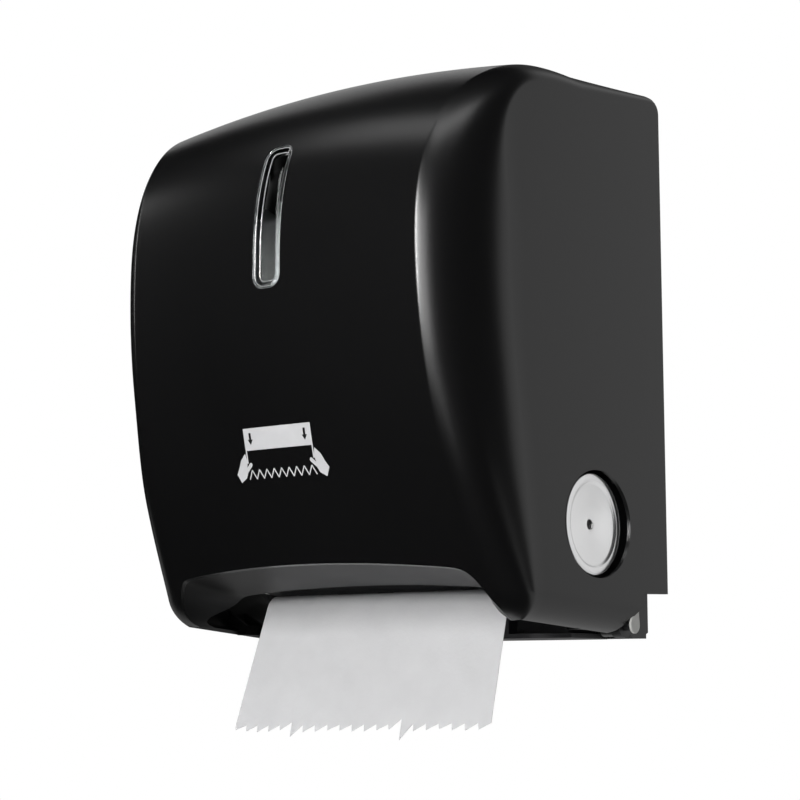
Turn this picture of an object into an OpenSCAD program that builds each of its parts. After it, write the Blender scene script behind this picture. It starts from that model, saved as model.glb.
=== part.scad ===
// Roll towel dispenser with a hand-turned cutting drum, wall mounted.
// X runs to the right seen from the front, Y runs to the wall, Z runs up, in mm.
// The origin is the centre of the four wall screws on the wall plane.

/* [Cover] */
// Width of the cover at the wall
body_w = 330; // [322:1:345]
// Distance from the wall to the foremost point of the cover
body_d = 219.7; // [214:0.1:228]
// Height of the roof above the screw centre
roof_z = 194; // [188:0.5:204]
// Height of the foremost point of the front
front_z = 55; // [45:1:65]
// Curve radius of the lower front, seen from the side
front_r = 514; // [480:1:600]
// Width between the two front creases
crease_w = 230; // [222:1:236]
// Angle by which each side leans in towards the front
side_taper = 5.2; // [4.4:0.1:5.8]
// Wall thickness of the cover
wall_t = 2.5; // [2:0.1:2.8]

/* [Mouth] */
// Half width of the mouth arch at its foot
mouth_hw = 135.6; // [132:0.1:138]
// Height of the top of the arch
mouth_top_z = -139; // [-142:0.5:-136]
// Height of the feet beside the mouth
mouth_foot_z = -176; // [-177:0.5:-175]
// How far in front of the wall the rear edge of the lip is
lip_y = -120; // [-128:0.5:-119]
// Height of the rear edge of the lip
lip_z = -150.5; // [-153:0.5:-149]

/* [Window] */
// Width of the window
window_w = 24; // [20:0.5:28]
// Height of the lower end of the window
window_low = 35.5; // [30:0.5:42]
// Height of the upper end of the window
window_high = 133; // [120:0.5:136]
// Corner radius of the window
window_r = 9; // [6:0.5:9.5]

/* [Drum] */
// Radius of the cutting drum
drum_r = 39; // [37.5:0.1:39.4]
// Wall thickness of the drum
drum_wall = 2.5; // [2:0.1:2.8]
// Length of the drum
drum_len = 224; // [222:0.5:226]
// Distance of the drum axis from the wall, as a Y value
drum_y = -76; // [-77:0.5:-75]
// Height of the drum axis
drum_z = -114; // [-115:0.5:-113]
// Radius of the steel drum shaft
shaft_r = 5; // [4:0.1:5.5]
// Thickness of the rubber grip bands
band_t = 0.8; // [0.5:0.1:0.9]

/* [Knob] */
// Radius of the feed knob
knob_r = 32.5; // [30:0.5:33]
// Gap between the knob and its opening in the cover
knob_gap = 2; // [1.6:0.1:3]
// Length of the knob along the shaft
knob_len = 11; // [9:0.5:13]

/* [Roll] */
// Radius of the paper left on the roll
roll_r = 80; // [50:1:84]
// Outer radius of the cardboard core
core_r = 20; // [18:0.5:22]
// Width of the paper
paper_w = 206; // [200:0.5:207]
// Thickness at which the paper is drawn
paper_t = 0.3; // [0.2:0.05:0.3]
// Distance of the roll axis from the wall, as a Y value
roll_y = -105; // [-107:0.5:-103]
// Height of the roll axis
roll_z = 38; // [34:0.5:42]
// Length of the sheet that hangs below the bend
tongue_len = 92; // [75:1:100]
// Pitch of the torn teeth
tooth_pitch = 9.4; // [8:0.1:11]

/* [Hinge] */
// Distance of the hinge axis from the wall, as a Y value
hinge_y = -36.5; // [-37.5:0.1:-36]
// Height of the hinge axis
hinge_z = -177; // [-177.5:0.1:-176.5]
// Radius of the hinge pins
pin_r = 3.5; // [3:0.1:4]

/* [Wall mount] */
// Spacing of the wall screws across
mount_x = 200; // [180:1:220]
// Spacing of the wall screws up and down
mount_z = 200; // [190:1:210]
// Diameter of the wall screw holes
mount_d = 5.5; // [4.5:0.1:6.5]

/* [Fits] */
// Radial play of turning shafts
run_gap = 0.06; // [0.03:0.01:0.1]
// Gap between moving pieces that pass each other
clear_gap = 0.4; // [0.3:0.05:0.5]

/* [Hidden] */
$fn = 64;
taper = tan(side_taper);
half_w = body_w / 2;
rear_y = -1;
crease_x = crease_w / 2;
top_a = 134;
top_b = roof_z - front_z;
top_n = 2.4;
top_y = -body_d + top_a;
base_z = -185.5;
plate_t = 4;
cheek_t = 4;
cheek_in = drum_len / 2 + 8;
cheek_out = cheek_in + cheek_t;
grip_r = drum_r + band_t;
wrap_r = grip_r + 0.06;
pinch_r = 7.4;
pinch_angle = -50;
pinch_reach = wrap_r + paper_t + 0.06 + pinch_r;
pinch_y = drum_y + pinch_reach * cos(pinch_angle);
pinch_z = drum_z + pinch_reach * sin(pinch_angle);
swing_y = pinch_y - 30 * sin(pinch_angle);
swing_z = pinch_z + 30 * cos(pinch_angle);
side_at_knob = half_w + (drum_y - knob_r) * taper;
knob_face = half_w - wall_t + drum_y * taper - 1.1;
knob_hole_r = knob_r + knob_gap;
arm_in = paper_w / 2 + 9;
arm_t = 5;
arm_slide = 18;
hub_in = 12;
blade_py = -12;
blade_pz = 22;
blade_half = drum_len / 2 - 12;
lock_y = -16;
lock_top = roof_z + 1.4;
ear_t = 7;
lug_t = 8.4;
lug_gap = 0.6;
seat_gap = 0.3;
hinge_room = half_w + hinge_y * taper - wall_t - cheek_out - lug_t - lug_gap - ear_t;
lug_x = cheek_out + 0.68 * hinge_room;
ear_x = lug_x + lug_t + lug_gap;
tray_x = (cheek_out + lug_x) / 2;

function ss(v) = let (c = max(0, min(1, v))) c * c * (3 - 2 * c);
function mix(a, b, f) = a + (b - a) * f;
function side_x(y) = half_w + y * taper;

// front of the cover on the centre line
function low_y(z) = -body_d + front_r - sqrt(front_r * front_r - (z - front_z) * (z - front_z));
function high_y(z) = top_y - top_a * pow(max(0, 1 - pow((z - front_z) / top_b, top_n)), 1 / top_n);
function front_y(z) = z < front_z ? low_y(z) : high_y(z);

// mouth with a flat bow on top and flared sides, softly joined
mouth_flare = 0.37;
mouth_soft = 8;
function arch(x) = let (
    bow = mouth_top_z - 5.2 * pow(x / 110, 2),
    flank = mouth_foot_z + (mouth_hw - abs(x)) / mouth_flare)
  max(mouth_foot_z, bow - mouth_soft * ln(1 + exp((bow - flank) / mouth_soft)));
function lip_share(x) = 1 - ss((abs(x) - mouth_hw) / 4);
lip_t = 2.2;

// lower edge of the side, rolled in and falling towards the hinge
foot_y = -138;
foot_x = side_x(foot_y);
curl_r = 19;
curl_turn = 70;
curl_h = curl_r * sin(curl_turn);
curl_fall = 4.3;
function bottom(y) = mouth_foot_z - tan(curl_fall) * max(0, y - foot_y);

// rows of the cover: roof, rounded top, lower front, rolled edge
rows_roof = 5;
rows_top = 11;
rows_low = 7;
rows_curl = 5;
row_front = rows_roof + rows_top;
row_curl = row_front + rows_low;
row_last = row_curl + rows_curl;
cols_band = 10;
cols_corner = 7;
col_side = cols_band + cols_corner;
col_last = col_side + 3;

// one row gives y, z, inward normal, bow, corner depth, crease x and crease angle
function row(i, zb) =
  i < rows_roof ? let (f = pow(i / rows_roof, 2))
    [mix(rear_y, top_y, f), roof_z, 0, -1, mix(6, 10.5, f), mix(4.5, 7, f),
     mix(crease_x + 33, crease_x + 26, f), mix(12, 24, f)] :
  i <= row_front ? let (
      a = 90 * (1 - (i - rows_roof) / rows_top),
      y = top_y - top_a * pow(cos(a), 2 / top_n),
      z = front_z + top_b * pow(sin(a), 2 / top_n),
      gy = pow(cos(a), 2 - 2 / top_n) / top_a,
      gz = pow(sin(a), 2 - 2 / top_n) / top_b,
      g = sqrt(gy * gy + gz * gz))
    [y, z, gy / g, -gz / g, 1 + 9.5 * pow((z - front_z) / top_b, 2), 48 - 41 * ss(a / 70),
     crease_x + 26 * ss(a / 90), 24] :
  let (
      start = max(mouth_foot_z + curl_h, zb + 8),
      z = i <= row_curl ? mix(front_z, start, (i - row_front) / rows_low) :
        start - (start - zb) * sin(curl_at(i)) / sin(curl_turn),
      q = (front_z - z) / 233)
    [low_y(z), z, 1, 0, 1 + 15 * pow(q, 2), 48 - 38 * pow(q, 2.9),
     crease_x + 13 * pow(q, 1.5), 24 * (1 - ss((-20 - z) / 75))];
function curl_at(i) = curl_turn * (i - row_curl) / rows_curl;

function foot_col(k) = k <= cols_band ? (crease_x + 13) * sin(90 * k / cols_band) :
  let (s = 90 * (k - cols_band) / cols_corner) mix(crease_x + 13, foot_x, sin(s));

// rounded rear corners of the roof
rear_r = 8;
function rear_share(k) = k <= cols_band ? ss(2 * k / cols_band - 1.5) :
  ss(0.5 + 1.5 * (k - cols_band) / cols_corner);
function rear_drop(y, k) = let (d = max(0, y - rear_y + rear_r))
  rear_share(k) * (rear_r - sqrt(rear_r * rear_r - d * d));

// edge of the side panel, one point for each row: back edge, notch above the hinge, cut-away round the pin
notch = [hinge_y + 8.9, hinge_z + 20];
notch_rear = [rear_y, notch[1] + 0.7];
curl_ends = [6, 0.3, -5.8, -8.4, -10.6, -14.5];
function edge(i) =
  i <= row_front ? [rear_y, mix(roof_z - 24, notch_rear[1], i / row_front)] :
  i <= row_front + 2 ? mix(notch_rear, notch, (i - row_front) / 2) :
  i <= row_curl ? let (f = (i - row_front - 2) / (rows_low - 2), y = hinge_y + curl_ends[0])
    [mix(notch[0], y, f * f), mix(notch[1], bottom(y) + curl_h, f)] :
  let (y = hinge_y + curl_ends[i - row_curl]) [y, bottom(y) + curl_h - curl_r * sin(curl_at(i))];

// a point of the cover, off is the depth below the outer face
function skin(i, j, off) = let (
    k = abs(j),
    sg = sign(j),
    xf = foot_col(min(k, col_side)),
    zb = arch(xf) + (off > 0 ? lip_share(xf) * lip_t : 0),
    r = row(i, zb),
    turn = i > row_front ? asin(max(0, min(1, (mouth_foot_z + curl_h - r[1]) / curl_r))) : 0,
    inset = curl_r * (1 - cos(turn)),
    deep = off * cos(turn),
    drop = rear_drop(r[0], min(k, col_side)),
    z = r[1] + off * sin(turn),
    sy = r[0] + (r[4] + r[5]) * r[2],
    sz = z + (r[4] + r[5]) * r[3] - drop,
    sx = side_x(sy) - deep,
    xc = r[6] - 0.55 * deep)
  k <= cols_band ? let (f = sin(90 * k / cols_band), d = r[4] * f * f + deep + inset)
    [sg * xc * f, r[0] + d * r[2], z + d * r[3] - drop] :
  k <= col_side ? let (
      s = mix(r[7], 90, (k - cols_band) / cols_corner),
      d = r[4] + (deep + inset) * cos(s) + r[5] * (cos(r[7]) - cos(s)) / cos(r[7]),
      x = mix(xc, sx, (sin(s) - sin(r[7])) / (1 - sin(r[7]))))
    [sg * (x - inset * sin(s)), r[0] + d * r[2], z + d * r[3] - drop] :
  let (
      e = edge(i),
      f = [0, 0.4, 0.75, 1][k - col_side],
      y = mix(sy, e[0], f),
      a = curl_at(i))
    i <= row_curl ? [sg * (side_x(y) - off), y, mix(sz, e[1], f)] :
    [sg * (side_x(y) - curl_r + (curl_r - off) * cos(a)), y, bottom(y) + curl_h - (curl_r - off) * sin(a)];

// flange that runs back from the edge of the mouth, n counts round its section
function lip(n, j) = let (
    k = min(abs(j), col_side),
    a = skin(row_last, j, 0),
    b = skin(row_last, j, wall_t),
    rim = a + (b - a) * n / 5,
    rise = (a[2] - mouth_foot_z) / (mouth_top_z - mouth_foot_z),
    back = [a[0] * mix(0.955, 0.9, ss(rise / 0.5)), mix(a[1] + 9, lip_y, ss(rise / 0.7)),
      mix(mouth_foot_z, lip_z, rise)],
    lead = [a[0] - back[0], 0, a[2] - back[2]],
    away = lead / norm(lead),
    top = back + lip_t * away,
    p = n == 1 ? (a + back) / 2 - 0.6 * away : n == 2 ? back : n == 3 ? top : (b + top) / 2 - 0.6 * away)
  mix(rim, p, abs(j) > col_side ? 0 : lip_share(foot_col(k)));

cols = 2 * col_last + 1;
ring = 2 * (row_last + 1) + 4;
function ring_point(r, j) = r <= row_last ? skin(r, j, 0) :
  r <= row_last + 4 ? lip(r - row_last, j) : skin(ring - 1 - r, j, wall_t);
function at(r, c) = (r % ring) * cols + c;

module cover_skin() {
  points = [for (r = [0 : ring - 1]) for (c = [0 : cols - 1]) ring_point(r, c - col_last)];
  sides = [for (r = [0 : ring - 1]) for (c = [0 : cols - 2]) each (r <= row_last + 4) == (c >= col_last) ?
    [[at(r, c), at(r, c + 1), at(r + 1, c)], [at(r, c + 1), at(r + 1, c + 1), at(r + 1, c)]] :
    [[at(r, c), at(r, c + 1), at(r + 1, c + 1)], [at(r, c), at(r + 1, c + 1), at(r + 1, c)]]];
  caps = [for (i = [0 : row_last - 2]) each let (o = i, p = i + 1, q = ring - 2 - i, s = ring - 1 - i)
    [[at(o, 0), at(p, 0), at(q, 0)], [at(o, 0), at(q, 0), at(s, 0)],
     [at(p, cols - 1), at(o, cols - 1), at(s, cols - 1)], [at(p, cols - 1), at(s, cols - 1), at(q, cols - 1)]]];
  tip = row_last - 1;
  far = ring - 1 - tip;
  ends = [for (r = [tip : far - 2]) each
    [[at(r, 0), at(r + 1, 0), at(far, 0)], [at(r + 1, cols - 1), at(r, cols - 1), at(far, cols - 1)]]];
  polyhedron(points = points, faces = concat(sides, caps, ends), convexity = 8);
}

module along_x(x0, x1) translate([x0, 0, 0]) rotate([90, 0, 90]) linear_extrude(x1 - x0) children();
module along_y(y0, y1) translate([0, y1, 0]) rotate([90, 0, 0]) linear_extrude(y1 - y0) children();
module rod(r, x0, x1, y, z) translate([x0, y, z]) rotate([0, 90, 0]) cylinder(r = r, h = x1 - x0);
module slab(x0, x1, y0, y1, z0, z1) translate([x0, y0, z0]) cube([x1 - x0, y1 - y0, z1 - z0]);
module both() { children(); mirror([1, 0, 0]) children(); }
module round_box(w, h, r) {
  square([w - 2 * r, h], center = true);
  square([w, h - 2 * r], center = true);
  for (x = [-1, 1], y = [-1, 1]) translate([x * (w / 2 - r), y * (h / 2 - r)]) circle(r);
}
module window_outline() translate([0, (window_low + window_high) / 2])
  round_box(window_w, window_high - window_low, window_r);

// Black cover with its mouth, window, knob opening and lock seat
module cover_shell() color([0.07, 0.07, 0.075]) difference() {
  union() {
    cover_skin();
    translate([0, lock_y, roof_z - wall_t - 1.5]) cylinder(r = 14, h = wall_t + 2);
  }
  along_y(-body_d - 5, -body_d + 90) window_outline();
  rod(knob_hole_r, 100, half_w + 10, drum_y, drum_z);
  translate([0, lock_y, roof_z - 20]) cylinder(r = 9, h = 40);
}

// Clear lens pressed into the window
module window_lens() color([0.75, 0.8, 0.82, 0.5]) intersection() {
  along_x(-window_w, window_w) polygon(concat(
    [for (n = [-2 : 22]) let (z = mix(window_low, window_high, n / 20)) [front_y(z) + 0.3, z]],
    [for (n = [22 : -1 : -2]) let (z = mix(window_low, window_high, n / 20)) [front_y(z) + 2.1, z]]));
  along_y(-body_d - 5, -body_d + 60) window_outline();
}

// Two arms moulded to the cover that carry it on the hinge pins
module hinge_arms() color([0.09, 0.09, 0.095]) both() difference() {
  union() {
    rod(7.5, lug_x, lug_x + lug_t, hinge_y, hinge_z);
    slab(lug_x, lug_x + lug_t, hinge_y - 46, hinge_y, hinge_z - 3.5, hinge_z + 3.5);
    for (y = [hinge_y - 46, hinge_y - 27]) along_y(y, y + 3) arm_web(y);
  }
  rod(pin_r + run_gap, lug_x - 5, lug_x + lug_t + 5, hinge_y, hinge_z);
  curl_room();
}
// the arms are cut back to seat on the inside of the rolled edge
module curl_room() let (y = hinge_y - 35, r = curl_r - wall_t - seat_gap, far = curl_r + 8)
  translate([side_x(y) - curl_r, y, bottom(y) + curl_h]) rotate([-curl_fall, 0, -side_taper])
    along_y(-20, 22) polygon(concat([for (a = [-20 : 5 : 70]) [r * cos(a), -r * sin(a)]],
      [for (a = [70 : -15 : -20]) [far * cos(a), -far * sin(a)]]));
module arm_web(y) let (r = curl_r - wall_t + seat_gap, x = side_x(y) - curl_r, z = bottom(y) + curl_h)
  polygon(concat([[lug_x, hinge_z - 3], [lug_x, hinge_z + 3.5]],
    [for (a = [0 : 11 : 55]) [x + r * cos(a), z - r * sin(a)]]));

// Lock sleeve set in the roof
module lock_housing() color([0.72, 0.72, 0.74]) translate([0, lock_y, 0]) difference() {
  union() {
    translate([0, 0, roof_z - 14]) cylinder(r = 9, h = 14.5);
    translate([0, 0, roof_z + 0.5]) cylinder(r = 12, h = 0.9);
  }
  translate([0, 0, roof_z - 20]) cylinder(r = 6.5 + run_gap, h = 40);
}

// Turning key barrel with its key slot
module lock_barrel() color([0.8, 0.8, 0.82]) translate([0, lock_y, 0]) difference() {
  union() {
    translate([0, 0, roof_z - 14.5]) cylinder(r = 6.5, h = 15.7);
    translate([0, 0, roof_z - 19]) cylinder(r = 3, h = 5);
  }
  translate([-0.8, -4, roof_z - 6]) cube([1.6, 8, 10]);
}

// Bar below the barrel that turns behind the keeper
module lock_cam() color([0.7, 0.7, 0.72]) translate([0, lock_y, 0]) difference() {
  intersection() {
    translate([-4.4, -12, roof_z - 18.5]) cube([8.8, 24, 3]);
    translate([0, 0, roof_z - 20]) cylinder(r = 10.1, h = 6);
  }
  translate([0, 0, roof_z - 20]) cylinder(r = 3, h = 8);
}

// Strike on the back plate with two tabs in front of the bar
module lock_keeper() color([0.7, 0.7, 0.72]) both() {
  slab(12.5, 14, lock_y - 10.5, -plate_t, roof_z - 32, roof_z - 15);
  slab(5.5, 12.5, lock_y - 10.5, lock_y - 9, roof_z - 32, roof_z - 15);
}

// Wall plate with rim, ribs and the four screw holes
module back_plate() color([0.16, 0.16, 0.17]) difference() {
  union() {
    along_y(-plate_t, 0) plate_outline(0);
    difference() {
      along_y(-9, -plate_t + 0.5) plate_outline(0);
      along_y(-10, 1) plate_outline(3);
    }
    for (x = [-1, 1], z = [-1, 1]) translate([x * mount_x / 2, 0, z * mount_z / 2])
      rotate([90, 0, 0]) cylinder(r = mount_d / 2 + 5, h = 7);
    for (x = [-60, -20, 20, 60]) slab(x - 1.2, x + 1.2, -7, -plate_t + 0.5, -72, -10);
    for (x = [-60, 60]) slab(x - 1.2, x + 1.2, -7, -plate_t + 0.5, 66, 166);
  }
  for (x = [-1, 1], z = [-1, 1]) translate([x * mount_x / 2, 1, z * mount_z / 2])
    rotate([90, 0, 0]) cylinder(r = mount_d / 2, h = 20);
  for (x = [-1, 1], z = screw_z) translate([x * screw_x, 1, z]) rotate([90, 0, 0]) cylinder(r = 1.9, h = 20);
  slab(-cheek_out - 17, cheek_out + 17, -10, -plate_t, plate_low - 1, plate_low + 4);
  slab(-16, 16, -10, -plate_t, plate_high - 4, plate_high + 1);
}
module plate_outline(d) translate([0, (plate_low + plate_high) / 2])
  round_box(2 * (half_w - 9 - d), plate_high - plate_low - 2 * d, 12 - d);
plate_low = -149.5;
plate_high = roof_z - 19.5;
screw_x = cheek_out + 7;
screw_z = [drum_z - 30, drum_z + 36];

// Side wall of the mechanism with its rear flange
module cheek() difference() {
  union() {
    along_x(cheek_in, cheek_out) polygon([[-plate_t, drum_z - 52], [-plate_t, drum_z + 52], [drum_y - 8, drum_z + 52],
      [drum_y - 24, drum_z + 38], [drum_y - 24, drum_z - 20], [drum_y + 4, drum_z - 45], [drum_y + 14, drum_z - 52]]);
    slab(cheek_out - 0.5, cheek_out + 14, -plate_t - 3, -plate_t, drum_z - 40, drum_z + 52);
  }
  rod(8, cheek_in - 5, cheek_out + 5, drum_y, drum_z);
  rod(3, cheek_in - 5, cheek_out + 5, swing_y, swing_z);
  for (z = screw_z) translate([screw_x, 1, z]) rotate([90, 0, 0]) cylinder(r = 2.1, h = 20);
}
module right_cheek() color([0.2, 0.2, 0.21]) cheek();
module left_cheek() color([0.2, 0.2, 0.21]) difference() {
  mirror([1, 0, 0]) cheek();
  rod(3, -cheek_out - 5, -cheek_in + 5, post_y, post_z);
}

// Floor of the frame with the two hinge ears
module base_tray() color([0.18, 0.18, 0.19]) difference() {
  union() {
    both() slab(cheek_out, ear_x + ear_t, hinge_y + 9.5, hinge_y + 13, base_z, hinge_z + 17);
    slab(-tray_x, tray_x, hinge_y - 30, -plate_t - 6, base_z, base_z + 3);
    slab(-cheek_in + 0.5, cheek_in - 0.5, -plate_t - 6, -plate_t, base_z, plate_low + 10);
    both() slab(cheek_in, cheek_out, hinge_y - 22, -plate_t - 0.5, base_z + 2.5, drum_z - 52);
    both() slab(cheek_out, ear_x + ear_t, hinge_y + 9.5, -plate_t - 6, base_z, base_z + 3);
    both() along_x(ear_x, ear_x + ear_t) union() {
      translate([hinge_y, hinge_z]) circle(8.5);
      polygon([[hinge_y + 5.9, hinge_z - 6], [hinge_y - 7.3, hinge_z + 4.2], [hinge_y + 1, hinge_z + 17],
        [hinge_y + 6, hinge_z + 22], [hinge_y + 29, hinge_z + 22], [hinge_y + 29, hinge_z - 4.5],
        [hinge_y + 20, hinge_z - 8.5], [hinge_y + 9.5, hinge_z - 8.5]]);
    }
  }
  both() rod(pin_r, ear_x - 5, ear_x + ear_t + 5, hinge_y, hinge_z);
}

// Hinge pins with pear-shaped heads
module hinge_pins() color([0.75, 0.75, 0.76]) both() {
  rod(pin_r, lug_x - 1, ear_x + ear_t, hinge_y, hinge_z);
  along_x(ear_x + ear_t, side_x(hinge_y) - 1) union() {
    translate([hinge_y, hinge_z]) circle(head_r);
    polygon([polar(head_r, tip_a + tip_open), polar(head_tip, tip_a), polar(head_r, tip_a - tip_open)]);
  }
}
head_r = 5.4;
head_tip = 9.6;
tip_a = 60;
tip_open = acos(head_r / head_tip);
function polar(r, a) = [hinge_y + r * cos(a), hinge_z + r * sin(a)];

// Flanged bushes for the drum shaft
module drum_bushes() color([0.85, 0.84, 0.8]) both() difference() {
  union() {
    rod(8, cheek_in - 0.5, cheek_out, drum_y, drum_z);
    rod(11, cheek_in - 2, cheek_in, drum_y, drum_z);
  }
  rod(shaft_r + run_gap, cheek_in - 5, cheek_out + 5, drum_y, drum_z);
}

// Screws that hold both cheeks to the back plate
module cheek_screws() color([0.6, 0.6, 0.62]) for (x = [-1, 1], z = screw_z)
  translate([x * screw_x, -plate_t - 3, z]) rotate([90, 0, 0]) difference() {
    union() {
      translate([0, 0, -6.5]) cylinder(r = 1.9, h = 7);
      cylinder(r = 3.6, h = 2.4);
    }
    for (a = [0, 90]) rotate(a) translate([-2.2, -0.45, 1.2]) cube([4.4, 0.9, 3]);
  }

// Curved guide under the drum that leads the paper out
module exit_guide() color([0.22, 0.22, 0.23]) union() {
  along_x(-paper_w / 2 - 4, paper_w / 2 + 4) difference() {
    translate([drum_y, drum_z]) intersection() {
      circle(wrap_r + paper_t + 4.2);
      polygon([[0, 0], [34, -60], [8, -60]]);
    }
    translate([drum_y, drum_z]) circle(wrap_r + paper_t + 1.8);
  }
  for (x = [-80, 0, 80]) slab(x - 1.5, x + 1.5, drum_y + 10, drum_y + 20, base_z + 3, drum_z - wrap_r - 1.8);
}

// Fixed cam ring on the left cheek
module cutter_cam() color([0.85, 0.84, 0.8]) along_x(-cheek_in, -cheek_in + 2.2) difference() {
  translate([drum_y, drum_z]) circle(37.5);
  translate([drum_y, drum_z]) difference() {
    circle(34.5);
    rotate(-30) translate([34, 0]) circle(11);
  }
}

// Stud on the left cheek where the return spring ends
post_y = drum_y;
post_z = drum_z + 44;
stud_len = 13.6;
module spring_post() color([0.6, 0.6, 0.62]) {
  rod(3, 1.4 - cheek_out - stud_len, -cheek_in - 0.5, post_y, post_z);
  rod(4.6, -cheek_out - stud_len, 1.4 - cheek_out - stud_len, post_y, post_z);
}

// Coil spring drawn as one tube with straight ends
function unit(v) = v / norm(v);
function coil_path(r, turns, pitch, lead) = concat([[r, 0, -lead]],
  [for (k = [0 : turns * 8]) [r * cos(45 * k), r * sin(45 * k), pitch * k / 8]],
  [[r, 0, pitch * turns + lead]]);
module coil(r, turns, pitch, lead, wire) {
  echo(least_gap = pitch - 2 * wire);
  path = coil_path(r, turns, pitch, lead);
  m = len(path) - 1;
  dir = [for (k = [0 : m]) k == 0 || k == m ? [0, 0, 1] : unit(path[k + 1] - path[k - 1])];
  points = [for (k = [0 : m]) let (
      o = unit([path[k][0], path[k][1], 0]),
      s = unit(o - dir[k] * (o * dir[k])),
      t = cross(dir[k], s))
    for (a = [0 : 60 : 300]) path[k] + wire * (cos(a) * s + sin(a) * t)];
  walls = [for (k = [0 : m - 1]) for (a = [0 : 5]) each
    [[6 * k + a, 6 * k + 6 + (a + 1) % 6, 6 * k + (a + 1) % 6], [6 * k + a, 6 * k + 6 + a, 6 * k + 6 + (a + 1) % 6]]];
  ends = [for (a = [1 : 4]) each [[0, a, a + 1], [6 * m, 6 * m + a + 1, 6 * m + a]]];
  polyhedron(points = points, faces = concat(walls, ends));
}

// Return spring that hangs between the stud and the crank pin
wire_r = 0.6;
spring_r = 2.6;
crank_r = 18;
crank_z = drum_z + crank_r;
spring_turns = 6;
spring_pitch = 1.9;
spring_lead = (post_z - crank_z - spring_turns * spring_pitch) / 2 + 2.5;
module return_spring() color([0.62, 0.62, 0.65])
  translate([-cheek_out - 8.6, drum_y - spring_r - 3 - wire_r - 0.1, (post_z + crank_z - spring_turns * spring_pitch) / 2])
    rotate(90) coil(spring_r, spring_turns, spring_pitch, spring_lead, wire_r);

// Slot in the drum for the blade
module blade_slot() slab(-blade_half - 2, blade_half + 2, drum_y - 50, drum_y - 24, drum_z - 1.5, drum_z + 24.5);
module drum_half(side) difference() {
  along_x(-drum_len / 2, drum_len / 2) translate([drum_y, drum_z]) intersection() {
    difference() {
      circle(drum_r);
      circle(drum_r - drum_wall);
    }
    translate([side > 0 ? 0 : -60, -60]) square([60, 120]);
  }
  blade_slot();
}
module drum_front() color([0.11, 0.11, 0.115]) drum_half(-1);
module drum_rear() color([0.11, 0.11, 0.115]) drum_half(1);

// Discs that close the drum and carry it on the shaft
module drum_end() difference() {
  rod(drum_r - drum_wall, drum_len / 2 - 5, drum_len / 2, drum_y, drum_z);
  rod(shaft_r, drum_len / 2 - 10, drum_len / 2 + 5, drum_y, drum_z);
  rod(3 + run_gap, drum_len / 2 - 10, drum_len / 2 + 5, drum_y + blade_py, drum_z + blade_pz);
  for (a = [200 : 40 : 340]) rod(5, drum_len / 2 - 10, drum_len / 2 + 5, drum_y + 22 * cos(a), drum_z + 22 * sin(a));
}
module drum_end_right() color([0.3, 0.3, 0.31]) drum_end();
module drum_end_left() color([0.3, 0.3, 0.31]) mirror([1, 0, 0]) drum_end();

// Steel shaft with a threaded end under the knob
module drum_shaft() color([0.66, 0.66, 0.68]) difference() {
  rod(shaft_r, -cheek_out - 5, knob_face - 6, drum_y, drum_z);
  rod(1.5, knob_face - 18, knob_face, drum_y, drum_z);
}

// Rubber bands round the rear half of the drum
band_step = (drum_len - 44) / 5;
module grip_bands() color([0.14, 0.14, 0.14]) difference() {
  for (n = [-2.5 : 2.5]) along_x(band_step * n - 4, band_step * n + 4) translate([drum_y, drum_z]) difference() {
    circle(grip_r);
    circle(drum_r);
    translate([-2 * drum_r, -drum_r - 5]) square([2 * drum_r, 2 * drum_r + 10]);
  }
  blade_slot();
}

// Crank on the left end of the shaft
module crank_disc() color([0.3, 0.3, 0.31]) difference() {
  rod(24, -cheek_out - 5, -cheek_out - 2, drum_y, drum_z);
  rod(shaft_r, -cheek_out - 8, -cheek_out + 1, drum_y, drum_z);
  rod(3, -cheek_out - 8, -cheek_out + 1, drum_y, crank_z);
}
module crank_pin() color([0.6, 0.6, 0.62]) {
  rod(3, 1.4 - cheek_out - stud_len, -cheek_out - 2, drum_y, crank_z);
  rod(4.6, -cheek_out - stud_len, 1.4 - cheek_out - stud_len, drum_y, crank_z);
}

// Dished knob that feeds the paper by hand
module feed_knob() color([0.72, 0.72, 0.74]) translate([knob_face, drum_y, drum_z]) rotate([0, 90, 0])
  rotate_extrude() polygon([[3.2, -0.9], [knob_r - 9, -2.1], [knob_r - 6.2, -2.2], [knob_r - 4.9, -0.3],
    [knob_r - 4.5, 0], [knob_r - 0.8, 0], [knob_r, -0.8], [knob_r, -knob_len], [knob_r - 3, -knob_len],
    [knob_r - 3, -6.5], [9.5, -6.5], [9.5, -knob_len - 3], [shaft_r, -knob_len - 3], [shaft_r, -6], [3.2, -6]]);
module knob_screw() color([0.45, 0.45, 0.47]) difference() {
  union() {
    rod(3, knob_face - 6, knob_face - 4.2, drum_y, drum_z);
    rod(1.5, knob_face - 16, knob_face - 5.9, drum_y, drum_z);
  }
  for (a = [0, 90]) translate([knob_face - 4.8, drum_y, drum_z]) rotate([a, 0, 0])
    translate([0, -1.6, -0.35]) cube([3, 3.2, 0.7]);
}

// Swinging blade carrier inside the drum
blade_dir = unit([-23, -22]);
blade_nor = [-blade_dir[1], blade_dir[0]];
blade_root = [drum_y + blade_py, drum_z + blade_pz];
function on_blade(s, n) = blade_root + s * blade_dir + n * blade_nor;
module blade_carrier() color([0.8, 0.8, 0.78]) union() {
  along_x(-blade_half, blade_half) union() {
    translate(blade_root) circle(5);
    polygon([on_blade(0, -2), on_blade(26, -2), on_blade(26, 2), on_blade(0, 2)]);
  }
  rod(3, blade_half - 0.5, drum_len / 2 - 0.5, blade_root[0], blade_root[1]);
  rod(3, -drum_len / 2 - 3.6, -blade_half + 0.5, blade_root[0], blade_root[1]);
}

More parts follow.
